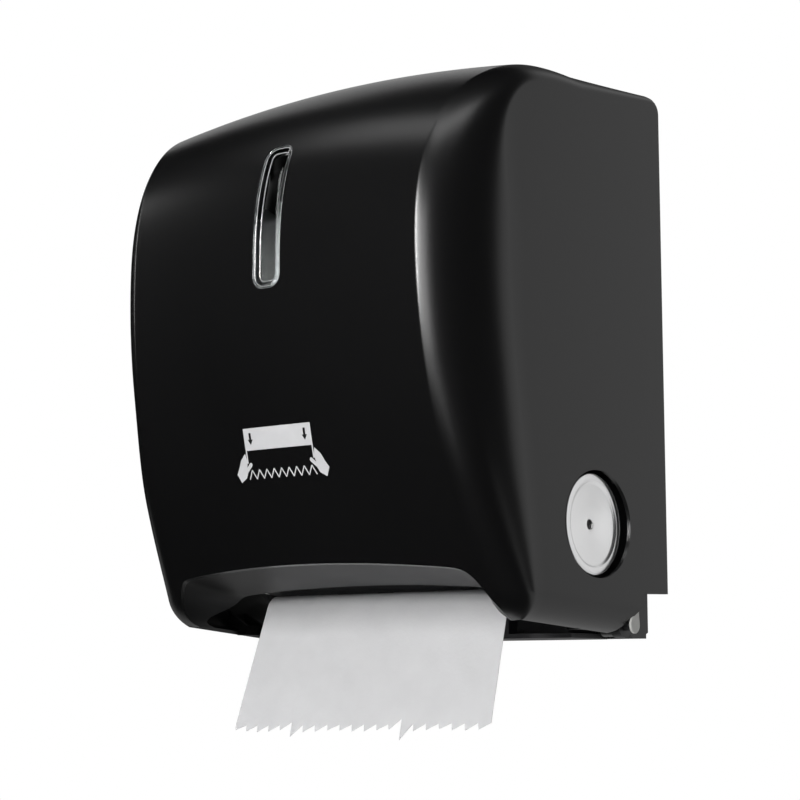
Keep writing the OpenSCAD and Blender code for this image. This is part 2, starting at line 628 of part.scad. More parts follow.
// Saw-toothed steel blade on the carrier
module cutting_blade() color([0.78, 0.78, 0.8]) {
  teeth = 40;
  step = 2 * (blade_half - 2) / teeth;
  translate([0, blade_root[0], blade_root[1]]) rotate([atan2(blade_dir[1], blade_dir[0]), 0, 0])
    translate([0, 0, 2]) linear_extrude(1) polygon(concat([[blade_half - 2, 12], [2 - blade_half, 12]],
      [for (k = [0 : teeth - 1]) each [[2 - blade_half + k * step, 29], [2 - blade_half + (k + 0.5) * step, 32]]],
      [[blade_half - 2, 29]]));
}

// Arm and stud that run against the cam
module cam_follower() color([0.85, 0.84, 0.8]) difference() {
  union() {
    along_x(-drum_len / 2 - 3.6, -drum_len / 2 - 1) union() {
      translate(blade_root) circle(5);
      translate(blade_root + [10, 10]) circle(3.4);
      translate(blade_root) rotate(45) translate([0, -3]) square([14, 6]);
    }
    rod(2.4, -cheek_in + 2.2 + clear_gap, -drum_len / 2 - 1, blade_root[0] + 10, blade_root[1] + 10);
  }
  rod(3, -drum_len / 2 - 10, -drum_len / 2, blade_root[0], blade_root[1]);
}

// Sprung frame that presses the small rollers on the drum
frame_x = cheek_in - 13;
roller_step = (frame_x - 27) / 2;
module pinch_frame() color([0.3, 0.3, 0.31]) difference() {
  union() {
    both() along_x(frame_x, frame_x + 4) union() {
      translate([swing_y, swing_z]) circle(6);
      translate([pinch_y, pinch_z]) circle(5);
      translate([pinch_y, pinch_z]) rotate(90 + pinch_angle) translate([0, -4]) square([30, 8]);
    }
    slab(-frame_x - 1, frame_x + 1, swing_y + 1, swing_y + 5, swing_z - 12, swing_z - 2);
    both() slab(frame_x - 0.5, frame_x + 4, swing_y - 4, swing_y + 5, swing_z - 12, swing_z);
  }
  rod(3 + run_gap, -cheek_out, cheek_out, swing_y, swing_z);
  rod(2.5 + run_gap, -cheek_out, cheek_out, pinch_y, pinch_z);
}
module pinch_pivot() color([0.66, 0.66, 0.68]) rod(3, -cheek_out, cheek_out, swing_y, swing_z);
module pinch_spring() color([0.66, 0.66, 0.68]) for (x = [-70, 70]) along_x(x - 6, x + 6)
  polygon([[-plate_t, swing_z + 16], [-plate_t - 0.8, swing_z + 16], [-plate_t - 0.8, swing_z + 4],
    [swing_y + 5, swing_z - 7], [swing_y + 5, swing_z - 9], [swing_y + 5.8, swing_z - 8], [-plate_t, swing_z + 3.4]]);
module pinch_shaft() color([0.66, 0.66, 0.68]) rod(2.5, -frame_x - 4, frame_x + 4, pinch_y, pinch_z);
module pinch_rollers() color([0.2, 0.2, 0.2]) for (n = [-2 : 2], x = [roller_step * n]) difference() {
  rod(pinch_r, x - 0.35 * roller_step, x + 0.35 * roller_step, pinch_y, pinch_z);
  rod(2.5, x - roller_step / 2, x + roller_step / 2, pinch_y, pinch_z);
}

// Arms that hold the roll by its core
core_in = core_r - 1.5;
module arm_blade() union() {
  translate([roll_y, roll_z]) circle(14);
  polygon([[-plate_t - 1, roll_z - 20], [-plate_t - 1, roll_z + 20], [roll_y + 3, roll_z + 13.6], [roll_y + 3, roll_z - 13.6]]);
}
module left_roll_arm() color([0.2, 0.2, 0.21]) union() {
  along_x(-arm_in - arm_t, -arm_in) arm_blade();
  slab(-arm_in - 12, -arm_in + 4, -plate_t - 3, -plate_t, roll_z - 24, roll_z + 24);
  rod(4, -arm_in - 1, -paper_w / 2 + hub_in - 1, roll_y, roll_z);
}

// Rail on the back plate for the sliding right arm
rail_end = half_w - 15;
module arm_rail() color([0.6, 0.6, 0.62]) union() {
  along_x(arm_in - 12, rail_end) polygon([[-plate_t, roll_z - 5], [-plate_t - 4.5, roll_z - 5], [-plate_t - 4.5, roll_z - 9],
    [-plate_t - 8, roll_z - 9], [-plate_t - 8, roll_z + 9], [-plate_t - 4.5, roll_z + 9], [-plate_t - 4.5, roll_z + 5],
    [-plate_t, roll_z + 5]]);
  slab(rail_end - 0.5, rail_end + 2, -28, -plate_t, roll_z - 9, roll_z + 9);
}
module right_roll_arm() color([0.2, 0.2, 0.21]) difference() {
  union() {
    along_x(arm_in, arm_in + arm_t) arm_blade();
    slab(arm_in, arm_in + 14, -28, -plate_t - clear_gap, roll_z - 15, roll_z + 15);
    rod(4, paper_w / 2 - hub_in + 1, arm_in + 1, roll_y, roll_z);
  }
  along_x(arm_in - 5, arm_in + 20) polygon([[0, roll_z - 5 - clear_gap], [-plate_t - 4.5 + clear_gap, roll_z - 5 - clear_gap],
    [-plate_t - 4.5 + clear_gap, roll_z - 9 - clear_gap], [-plate_t - 8 - clear_gap, roll_z - 9 - clear_gap],
    [-plate_t - 8 - clear_gap, roll_z + 9 + clear_gap], [-plate_t - 4.5 + clear_gap, roll_z + 9 + clear_gap],
    [-plate_t - 4.5 + clear_gap, roll_z + 5 + clear_gap], [0, roll_z + 5 + clear_gap]]);
}
arm_gap = rail_end - 0.5 - arm_in - 14;
module arm_spring() color([0.62, 0.62, 0.65]) translate([arm_in + 14 + 2, -21, roll_z]) rotate([0, 90, 0])
  coil(4, 5, (arm_gap - 4) / 5, 2, 0.5);

// Hubs in the ends of the core
module hub(plug_r) difference() {
  union() {
    rod(core_r + 4, paper_w / 2 + clear_gap, paper_w / 2 + clear_gap + 3, roll_y, roll_z);
    rod(plug_r, paper_w / 2 - hub_in, paper_w / 2 + clear_gap + 1, roll_y, roll_z);
    rod(8, paper_w / 2, arm_in - clear_gap, roll_y, roll_z);
  }
  rod(4 + run_gap, 0, arm_in + 5, roll_y, roll_z);
}
module left_hub() color([0.8, 0.8, 0.78]) mirror([1, 0, 0]) hub(core_in);
module right_hub() color([0.8, 0.8, 0.78]) hub(core_in - 0.3);
module roll_core() color([0.6, 0.48, 0.35]) difference() {
  rod(core_r, -paper_w / 2, paper_w / 2, roll_y, roll_z);
  rod(core_in, -paper_w / 2 - 5, paper_w / 2 + 5, roll_y, roll_z);
}
module paper_roll() color([0.93, 0.93, 0.92]) difference() {
  rod(roll_r, -paper_w / 2, paper_w / 2, roll_y, roll_z);
  rod(core_r, -paper_w / 2 - 5, paper_w / 2 + 5, roll_y, roll_z);
}

// Paper from the roll, behind and under the drum and out of the mouth
web_d = [drum_y - roll_y, drum_z - roll_z];
web_a = atan2(web_d[1], web_d[0]) + acos((roll_r - wrap_r) / norm(web_d));
bend_r = 12;
bend_y = drum_y - 10;
lean = 18.5;
tongue_y = bend_y - bend_r * cos(lean);
tongue_z = drum_z - wrap_r - bend_r + bend_r * sin(lean);
wrap_steps = 15;
function web_path(o) = concat(
  [[roll_y + (roll_r + o) * cos(web_a), roll_z + (roll_r + o) * sin(web_a)]],
  [for (k = [0 : wrap_steps]) let (a = mix(web_a, -90, k / wrap_steps), r = (wrap_r + o) / cos(3.2))
    [drum_y + r * cos(a), drum_z + r * sin(a)]],
  [for (k = [0 : 8]) let (a = mix(90, 180 - lean, k / 8))
    [bend_y + (bend_r - o) * cos(a), drum_z - wrap_r - bend_r + (bend_r - o) * sin(a)]],
  [[tongue_y + o * cos(lean) - tongue_len * sin(lean), tongue_z - o * sin(lean) - tongue_len * cos(lean)]]);
teeth_count = floor(paper_w / tooth_pitch);
function tooth(k) = 2.6 + 2 * abs(sin(137 * k)) + (k == 4 ? 3 : k == 14 ? 4.5 : 0);
module paper_web() color([0.95, 0.95, 0.94]) difference() {
  along_x(-paper_w / 2, paper_w / 2) polygon(concat(web_path(0), [for (n = [len(web_path(0)) - 1 : -1 : 0]) web_path(paper_t)[n]]));
  translate([0, tongue_y, tongue_z]) rotate([90 - lean, 0, 0]) translate([0, 0, -20]) linear_extrude(40) polygon(concat(
    [[paper_w / 2 + 1, 4 - tongue_len], [paper_w / 2 + 1, -tongue_len - 20], [-paper_w / 2 - 1, -tongue_len - 20],
     [-paper_w / 2 - 1, 4 - tongue_len]],
    [for (k = [0 : teeth_count - 1]) let (x = -paper_w / 2 + (k + 0.5) * paper_w / teeth_count)
      each [[x - 0.3 * tooth_pitch, 6.5 - tongue_len], [x, 6.5 - tongue_len - tooth(k)]]],
    [[paper_w / 2 - 0.2 * tooth_pitch, 6.5 - tongue_len]]));
}

cover_shell();
window_lens();
hinge_arms();
lock_housing();
lock_barrel();
lock_cam();
lock_keeper();
back_plate();
left_cheek();
right_cheek();
base_tray();
hinge_pins();
drum_bushes();
cheek_screws();
exit_guide();
cutter_cam();
spring_post();
return_spring();
drum_front();
drum_rear();
drum_end_left();
drum_end_right();
drum_shaft();
grip_bands();
crank_disc();
crank_pin();
feed_knob();
knob_screw();
blade_carrier();
cutting_blade();
cam_follower();
pinch_frame();
pinch_pivot();
pinch_spring();
pinch_shaft();
pinch_rollers();
left_roll_arm();
arm_rail();
right_roll_arm();
arm_spring();
left_hub();
right_hub();
roll_core();
paper_roll();
paper_web();
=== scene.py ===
import math

import bmesh
import bpy
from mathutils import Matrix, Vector


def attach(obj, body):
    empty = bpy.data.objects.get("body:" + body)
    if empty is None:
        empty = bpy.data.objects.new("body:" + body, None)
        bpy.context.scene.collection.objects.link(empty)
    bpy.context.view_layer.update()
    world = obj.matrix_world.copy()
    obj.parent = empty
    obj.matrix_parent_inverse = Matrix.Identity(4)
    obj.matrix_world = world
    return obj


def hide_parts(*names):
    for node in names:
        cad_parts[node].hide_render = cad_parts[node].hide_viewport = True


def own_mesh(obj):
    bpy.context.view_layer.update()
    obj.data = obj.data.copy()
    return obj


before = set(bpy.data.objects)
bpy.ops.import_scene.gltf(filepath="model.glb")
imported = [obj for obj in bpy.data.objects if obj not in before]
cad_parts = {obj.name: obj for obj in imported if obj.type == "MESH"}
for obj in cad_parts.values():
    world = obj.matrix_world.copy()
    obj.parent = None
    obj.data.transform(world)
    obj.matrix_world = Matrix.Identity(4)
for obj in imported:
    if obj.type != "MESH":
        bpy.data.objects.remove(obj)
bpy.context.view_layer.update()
scene = bpy.context.scene
print("frame loaded with", len(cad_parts), "nodes")

# shared by several pieces, axes as y and z, in mm
drumAxis = (-76, -114)
rollAxis = (-105, 38)
paperWidth = 206


# camera as the photograph was taken, from the lower right
photoCamera = {
    "place": (0.7959, -1.1155, -0.2116),
    "turn": 37.49,
    "rise": 8.32,
    "lens": 85.72,
    "sensor": 36,
}
cameraData = bpy.data.cameras.new("photoCamera")
cameraData.sensor_width = photoCamera["sensor"]
cameraData.lens = photoCamera["lens"]
cameraObject = bpy.data.objects.new("photoCamera", cameraData)
cameraObject.location = photoCamera["place"]
cameraObject.rotation_euler = (math.radians(90 + photoCamera["rise"]), 0, math.radians(photoCamera["turn"]))
scene.collection.objects.link(cameraObject)
scene.camera = cameraObject


# studio: white sweep behind, dim room in front, seven soft boxes
studio = {
    "backGlow": 0.69,
    "frontGlow": 0.02,
    "backRange": (0.53, 0.65),
    # axis of the direction, its range and the glow at both ends
    "fades": (("X", -0.3, 0.15, 0.12, 1.0), ("X", 0.55, 0.78, 1.0, 1.18), ("Z", -0.12, 0.05, 0.7, 1.0)),
    # white and left: range of distance or place in metres, then the share at both ends
    "floor": {"height": -0.62, "half": 5.0, "colour": (0.82, 0.82, 0.82, 1), "white": (0.9, 3.2, 0.6, 1.0),
              "backRange": (-0.15, 0.25), "left": (-1.2, 0.2, 0.35, 1.0)},
    "aim": (0, -0.1, 0),
    # a lamp without lights is only mirrored, one without mirrored only lights
    "lamps": {
        "keyBox": {"place": (0.33, -2.1, 0.5), "size": (0.14, 0.8), "power": 34},
        "sideBox": {"place": (-2.1, -0.75, 0.85), "size": (0.5, 1.2), "power": 6.5},
        "topBox": {"place": (-0.25, -1.0, 1.75), "size": (2.0, 0.5), "power": 5},
        "rearBox": {"place": (-1.5, 1.25, 1.5), "size": (1.1, 1.5), "power": 2.8},
        "cornerBox": {"place": (0.92, -0.9, 1.5), "size": (1.0, 0.4), "power": 4.6, "lights": False},
        "glowBox": {"place": (0.74, -2.0, 0.25), "size": (0.7, 0.9), "power": 12, "lights": False},
        "roomFill": {"place": (1.15, -1.55, -0.3), "size": (0.7, 0.7), "power": 6, "mirrored": False},
    },
}


def addNode(tree, kind, inputs=None, **settings):
    node = tree.nodes.new(kind)
    for key, value in settings.items():
        setattr(node, key, value)
    for key, value in (inputs or {}).items():
        node.inputs[key].default_value = value
    return node


def axesOf(tree, source):
    # texture coordinate, whole and split into its axes
    coords = tree.nodes.new("ShaderNodeTexCoord").outputs[source]
    split = tree.nodes.new("ShaderNodeSeparateXYZ")
    tree.links.new(coords, split.inputs[0])
    return coords, split.outputs


def rangeOf(tree, source, fromLow, fromHigh, low, high, kind="LINEAR"):
    ranged = addNode(tree, "ShaderNodeMapRange", {
        "From Min": fromLow, "From Max": fromHigh, "To Min": low, "To Max": high}, interpolation_type=kind)
    tree.links.new(source, ranged.inputs["Value"])
    return ranged.outputs["Result"]


def softRange(tree, source, *span):
    return rangeOf(tree, source, *span, "SMOOTHSTEP")


def product(tree, *sources):
    times = addNode(tree, "ShaderNodeMath", operation="MULTIPLY")
    for socket, source in zip(times.inputs, sources):
        tree.links.new(source, socket)
    return times.outputs[0]


def mixShaders(tree, *sources):
    # share of the second shader, then both shaders
    mixer = tree.nodes.new("ShaderNodeMixShader")
    for socket, source in zip(mixer.inputs, sources):
        tree.links.new(source, socket)
    return mixer.outputs[0]


def emptyMaterial(name):
    mat = bpy.data.materials.new(name)
    mat.use_nodes = True
    mat.node_tree.nodes.clear()
    return mat, mat.node_tree, mat.node_tree.nodes.new("ShaderNodeOutputMaterial")


def lampAt(name, spec):
    data = bpy.data.lights.new(name, "AREA")
    data.shape = "RECTANGLE"
    data.size, data.size_y = spec["size"]
    data.energy = spec["power"]
    lamp = bpy.data.objects.new(name, data)
    lamp.location = spec["place"]
    aim = Vector(studio["aim"]) - Vector(spec["place"])
    lamp.rotation_euler = aim.to_track_quat("-Z", "Y").to_euler()
    lamp.visible_glossy = spec.get("mirrored", True)
    lamp.visible_diffuse = spec.get("lights", True)
    scene.collection.objects.link(lamp)


def makeWorld():
    world = bpy.data.worlds.new("studio")
    world.use_nodes = True
    scene.world = world
    tree = world.node_tree
    tree.nodes.clear()
    axes = axesOf(tree, "Generated")[1]
    # light behind, darker to the left and under the horizon, a little lighter far to the right
    level = softRange(tree, axes["Y"], *studio["backRange"], studio["frontGlow"], studio["backGlow"])
    for axis, *span in studio["fades"]:
        level = product(tree, level, softRange(tree, axes[axis], *span))
    path = tree.nodes.new("ShaderNodeLightPath")
    pick = addNode(tree, "ShaderNodeMix", {"B": 1.0}, data_type="FLOAT")
    glow = addNode(tree, "ShaderNodeBackground", {"Color": (1, 1, 1, 1)})
    out = tree.nodes.new("ShaderNodeOutputWorld")
    tree.links.new(path.outputs["Is Camera Ray"], pick.inputs["Factor"])
    tree.links.new(level, pick.inputs["A"])
    tree.links.new(pick.outputs["Result"], glow.inputs["Strength"])
    tree.links.new(glow.outputs[0], out.inputs[0])


def makeFloor():
    spec = studio["floor"]
    half, height = spec["half"], spec["height"]
    mesh = bpy.data.meshes.new("paleFloor")
    corners = [(x * half, y * half, height) for x, y in ((-1, -1), (1, -1), (1, 1), (-1, 1))]
    mesh.from_pydata(corners, [], [(0, 1, 2, 3)])
    floor = bpy.data.objects.new("paleFloor", mesh)
    scene.collection.objects.link(floor)
    mat, tree, out = emptyMaterial("paleFloor")
    coords, axes = axesOf(tree, "Object")
    rays = tree.nodes.new("ShaderNodeLightPath").outputs
    # keeps a soft shadow, and fades into the white background far from the object
    far = addNode(tree, "ShaderNodeVectorMath", operation="LENGTH")
    tree.links.new(coords, far.inputs[0])
    white = product(tree, rays["Is Camera Ray"], softRange(tree, far.outputs["Value"], *spec["white"]))
    matt = addNode(tree, "ShaderNodeBsdfDiffuse", {"Color": spec["colour"]})
    shine = addNode(tree, "ShaderNodeEmission", {"Strength": 1.0})
    shader = mixShaders(tree, white, matt.outputs[0], shine.outputs[0])
    # mirrored in the cover, the floor is dim in front and on the left, light behind
    back = softRange(tree, axes["Y"], *spec["backRange"], studio["frontGlow"], studio["backGlow"])
    level = product(tree, back, softRange(tree, axes["X"], *spec["left"]))
    mirrored = tree.nodes.new("ShaderNodeEmission")
    tree.links.new(level, mirrored.inputs["Strength"])
    shader = mixShaders(tree, rays["Is Glossy Ray"], shader, mirrored.outputs[0])
    # a camera under the floor looks through it
    below = tree.nodes.new("ShaderNodeNewGeometry").outputs["Backfacing"]
    clear = tree.nodes.new("ShaderNodeBsdfTransparent").outputs[0]
    shader = mixShaders(tree, product(tree, below, rays["Is Camera Ray"]), shader, clear)
    tree.links.new(shader, out.inputs[0])
    mesh.materials.append(mat)


makeWorld()
for lampName, lampSpec in studio["lamps"].items():
    lampAt(lampName, lampSpec)
makeFloor()
scene.view_settings.view_transform = "Standard"
print("studio ready")


# moulded plastics, rubber and the inks of the sign, all in linear colour
plastics = {
    "coverBlack": {"dark": (0.0034, 0.0034, 0.0036), "light": (0.0044, 0.0044, 0.0046),
                   "rough": (0.262, 0.272), "patch": 5, "grain": 1500, "depth": 0.06},
    "coverInside": {"dark": (0.0040, 0.0040, 0.0042), "light": (0.0050, 0.0050, 0.0052),
                    "rough": (0.40, 0.46), "patch": 9, "grain": 1200, "depth": 0.10, "shine": 0.26},
    "framePlastic": {"dark": (0.016, 0.016, 0.017), "light": (0.022, 0.022, 0.023), "rough": (0.42, 0.52),
                     "patch": 14, "grain": 1100, "depth": 0.10},
    "darkPlastic": {"dark": (0.011, 0.011, 0.012), "light": (0.016, 0.016, 0.017), "rough": (0.32, 0.44),
                    "patch": 18, "grain": 1300, "depth": 0.08},
    "palePlastic": {"dark": (0.52, 0.52, 0.50), "light": (0.60, 0.60, 0.585), "rough": (0.36, 0.46),
                    "patch": 22, "grain": 1200, "depth": 0.06},
    "rubber": {"dark": (0.014, 0.014, 0.014), "light": (0.024, 0.024, 0.023), "rough": (0.72, 0.86),
               "patch": 40, "grain": 900, "depth": 0.25},
    "signInk": {"dark": (0.53, 0.53, 0.54), "light": (0.58, 0.58, 0.59), "rough": (0.40, 0.50),
                "patch": 60, "grain": 2200, "depth": 0.04},
    "signDark": {"dark": (0.004, 0.004, 0.004), "light": (0.006, 0.006, 0.006), "rough": (0.40, 0.50),
                 "patch": 60, "grain": 2200, "depth": 0.04, "shine": 0.2},
}
materials = {}
noiseSpan = (0.3, 0.7)  # part of the noise range that carries a pattern


def newMaterial(name):
    materials[name], tree, out = emptyMaterial(name)
    shader = tree.nodes.new("ShaderNodeBsdfPrincipled")
    tree.links.new(shader.outputs[0], out.inputs[0])
    return tree, shader


def setLooks(tree, shader, spec, tintSource, roughSource, normal=None):
    # colour and roughness follow a pattern, the fixed values are the finish's own
    tree.links.new(tint(tree, tintSource, spec["dark"], spec["light"]), shader.inputs["Base Color"])
    tree.links.new(rangeOf(tree, roughSource, *noiseSpan, *spec["rough"]), shader.inputs["Roughness"])
    if normal is not None:
        tree.links.new(normal, shader.inputs["Normal"])
    for socket, value in spec.get("fixed", {}).items():
        shader.inputs[socket].default_value = value


def noiseAt(tree, scale, detail=3.0, source=None):
    noise = addNode(tree, "ShaderNodeTexNoise", {"Scale": scale, "Detail": detail})
    if source is None:
        source = tree.nodes.new("ShaderNodeTexCoord").outputs["Object"]
    tree.links.new(source, noise.inputs["Vector"])
    return noise.outputs["Fac"]


def tint(tree, source, dark, light):
    ramp = tree.nodes.new("ShaderNodeValToRGB")
    for stop, place, colour in zip(ramp.color_ramp.elements, noiseSpan, (dark, light)):
        stop.position, stop.color = place, (*colour, 1)
    tree.links.new(source, ramp.inputs[0])
    return ramp.outputs[0]


def bumpFrom(tree, source, strength, distance=0.0004, below=None):
    bump = addNode(tree, "ShaderNodeBump", {"Strength": strength, "Distance": distance})
    tree.links.new(source, bump.inputs["Height"])
    if below is not None:
        tree.links.new(below, bump.inputs["Normal"])
    return bump.outputs[0]


def ringsAt(tree, axis, scale, detail):
    # noise that runs in rings round an axis along X
    coords = tree.nodes.new("ShaderNodeTexCoord")
    centre = addNode(tree, "ShaderNodeMapping", {"Location": (0, -axis[0] / 1000, -axis[1] / 1000)})
    split = tree.nodes.new("ShaderNodeSeparateXYZ")
    flat = tree.nodes.new("ShaderNodeCombineXYZ")
    radius = addNode(tree, "ShaderNodeVectorMath", operation="LENGTH")
    rings = addNode(tree, "ShaderNodeTexNoise", {"Scale": scale, "Detail": detail}, noise_dimensions="1D")
    for source, socket in (
            (coords.outputs["Object"], centre.inputs["Vector"]), (centre.outputs[0], split.inputs[0]),
            (split.outputs["Y"], flat.inputs["X"]), (split.outputs["Z"], flat.inputs["Y"]),
            (flat.outputs[0], radius.inputs[0]), (radius.outputs["Value"], rings.inputs["W"])):
        tree.links.new(source, socket)
    return rings.outputs["Fac"]


def mouldedPlastic(name):
    spec = plastics[name]
    tree, shader = newMaterial(name)
    patch = noiseAt(tree, spec["patch"])
    grain = noiseAt(tree, spec["grain"], 2.0)
    setLooks(tree, shader, spec, patch, patch, bumpFrom(tree, grain, spec["depth"]))
    shader.inputs["Specular IOR Level"].default_value = spec.get("shine", 0.5)


# steel with fine lines drawn along X, noise as scale and detail, bump as strength and distance
steel = {"dark": (0.44, 0.44, 0.46), "light": (0.60, 0.60, 0.62), "rough": (0.26, 0.40),
         "lines": (1400, 2.0), "stretch": (0.05, 1, 1), "bump": (0.08, 0.0002), "fixed": {"Metallic": 1.0}}


def steelFinish():
    tree, shader = newMaterial("steel")
    coords = tree.nodes.new("ShaderNodeTexCoord")
    stretch = addNode(tree, "ShaderNodeMapping", {"Scale": steel["stretch"]})
    tree.links.new(coords.outputs["Object"], stretch.inputs["Vector"])
    lines = noiseAt(tree, *steel["lines"], stretch.outputs[0])
    setLooks(tree, shader, steel, lines, lines, bumpFrom(tree, lines, *steel["bump"]))


# turned silver, its lines run round the knob's axis
knobSilver = {"dark": (0.96, 0.96, 0.965), "light": (0.99, 0.99, 0.995), "rough": (0.20, 0.26),
              "rings": (2600.0, 2.0), "bump": (0.05, 0.0002),
              "fixed": {"Metallic": 0.95, "Anisotropic": 0.75}}


def knobFinish():
    tree, shader = newMaterial("knobSilver")
    rings = ringsAt(tree, drumAxis, *knobSilver["rings"])
    setLooks(tree, shader, knobSilver, rings, rings, bumpFrom(tree, rings, *knobSilver["bump"]))
    tangent = addNode(tree, "ShaderNodeTangent", direction_type="RADIAL", axis="X")
    tree.links.new(tangent.outputs[0], shader.inputs["Tangent"])


# thin embossed towel that lets some light through
paper = {"dark": (0.61, 0.61, 0.62), "light": (0.645, 0.645, 0.655), "rough": (0.82, 0.95),
         "cloud": (45, 3.0), "fibres": (900, 4.0), "fibreBump": (0.2, 0.0002),
         "emboss": (420, 1.0), "embossBump": (0.22, 0.0003),
         "fixed": {"Specular IOR Level": 0.2, "Subsurface Weight": 0.8, "Subsurface Radius": (1, 1, 1),
                   "Subsurface Scale": 0.001}}


def paperFinish():
    tree, shader = newMaterial("paper")
    cloud, fibres, emboss = (noiseAt(tree, *paper[key]) for key in ("cloud", "fibres", "emboss"))
    relief = bumpFrom(tree, emboss, *paper["embossBump"], bumpFrom(tree, fibres, *paper["fibreBump"]))
    setLooks(tree, shader, paper, cloud, fibres, relief)


# wound layers show as fine rings on the ends of the roll
rollPaper = {"dark": (0.60, 0.60, 0.60), "light": (0.78, 0.78, 0.78), "rough": (0.84, 0.95),
             "rings": (1700.0, 3.0), "ringBump": (0.3, 0.0004),
             "fibres": (700, 3.0), "fibreBump": (0.2, 0.0002)}


def rollFinish():
    tree, shader = newMaterial("rollPaper")
    rings = ringsAt(tree, rollAxis, *rollPaper["rings"])
    fibres = noiseAt(tree, *rollPaper["fibres"])
    relief = bumpFrom(tree, rings, *rollPaper["ringBump"], bumpFrom(tree, fibres, *rollPaper["fibreBump"]))
    setLooks(tree, shader, rollPaper, rings, fibres, relief)


cardboard = {"dark": (0.26, 0.17, 0.10), "light": (0.38, 0.26, 0.16), "rough": (0.8, 0.95),
             "fibres": (500, 4.0), "bump": (0.3, 0.0003)}


def cardFinish():
    tree, shader = newMaterial("cardboard")
    fibres = noiseAt(tree, *cardboard["fibres"])
    setLooks(tree, shader, cardboard, fibres, fibres, bumpFrom(tree, fibres, *cardboard["bump"]))


# clear pane of the window and the cloudy edges of its steps
lensLooks = {
    "lensClear": {"dark": (0.78, 0.80, 0.80), "light": (0.86, 0.88, 0.88), "rough": (0.01, 0.05),
                  "haze": (160, 2.0), "shade": (0.80, 0.82, 0.82, 1),
                  "fixed": {"IOR": 1.46, "Transmission Weight": 1.0}},
    "lensEdge": {"dark": (0.42, 0.43, 0.44), "light": (0.56, 0.57, 0.58), "rough": (0.12, 0.22),
                 "haze": (160, 2.0), "fixed": {"IOR": 1.46, "Transmission Weight": 0.35}},
}


def lensFinish(name):
    spec = lensLooks[name]
    tree, shader = newMaterial(name)
    haze = noiseAt(tree, *spec["haze"])
    setLooks(tree, shader, spec, haze, haze)
    if "shade" in spec:
        # lets lamp light reach the paper behind the window
        clear = addNode(tree, "ShaderNodeBsdfTransparent", {"Color": spec["shade"]})
        rays = tree.nodes.new("ShaderNodeLightPath").outputs
        pane = mixShaders(tree, rays["Is Shadow Ray"], shader.outputs[0], clear.outputs[0])
        tree.links.new(pane, tree.nodes["Material Output"].inputs[0])


for plasticName in plastics:
    mouldedPlastic(plasticName)
steelFinish()
knobFinish()
paperFinish()
rollFinish()
cardFinish()
for lensName in lensLooks:
    lensFinish(lensName)
print("finishes ready:", len(materials))


def meshPiece(name, points, faces, finish, smoothAngle=35):
    mesh = bpy.data.meshes.new(name)
    mesh.from_pydata([tuple(c / 1000 for c in p) for p in points], [], faces)
    mesh.validate()
    piece = bpy.data.objects.new(name, mesh)
    scene.collection.objects.link(piece)
    for item in ([finish] if isinstance(finish, str) else finish):
        mesh.materials.append(materials[item])
    smoothMesh(mesh, smoothAngle)
    return piece


def smoothMesh(mesh, angle):
    mesh.shade_smooth()
    mesh.set_sharp_from_angle(angle=math.radians(angle))


def seat(piece, body, stands=()):
    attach(piece, body)
    if stands:
        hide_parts(*stands)


def applied(piece):
    # turns the piece with its modifiers into a plain mesh
    graph = bpy.context.evaluated_depsgraph_get()
    mesh = bpy.data.meshes.new_from_object(piece.evaluated_get(graph))
    old = piece.data
    piece.modifiers.clear()
    piece.data = mesh
    bpy.data.meshes.remove(old)
    mesh.name = piece.name


def tubeFaces(count, rings, closed=False, base=0):
    # quads between neighbouring rings of count points, closed joins the last ring to the first
    faces = []
    for ring in range(rings if closed else rings - 1):
        a, b = base + ring * count, base + (ring + 1) % rings * count
        faces += [(a + n, a + (n + 1) % count, b + (n + 1) % count, b + n) for n in range(count)]
    return faces


def outward(piece):
    shape = bmesh.new()
    shape.from_mesh(piece.data)
    bmesh.ops.remove_doubles(shape, verts=shape.verts, dist=1e-7)
    bmesh.ops.recalc_face_normals(shape, faces=shape.faces)
    shape.to_mesh(piece.data)
    shape.free()


def smoothStep(v):
    v = max(0.0, min(1.0, v))
    return v * v * (3 - 2 * v)


def mix(a, b, f):
    return a + (b - a) * f


def mixPoint(a, b, f):
    return tuple(mix(p, q, f) for p, q in zip(a, b))


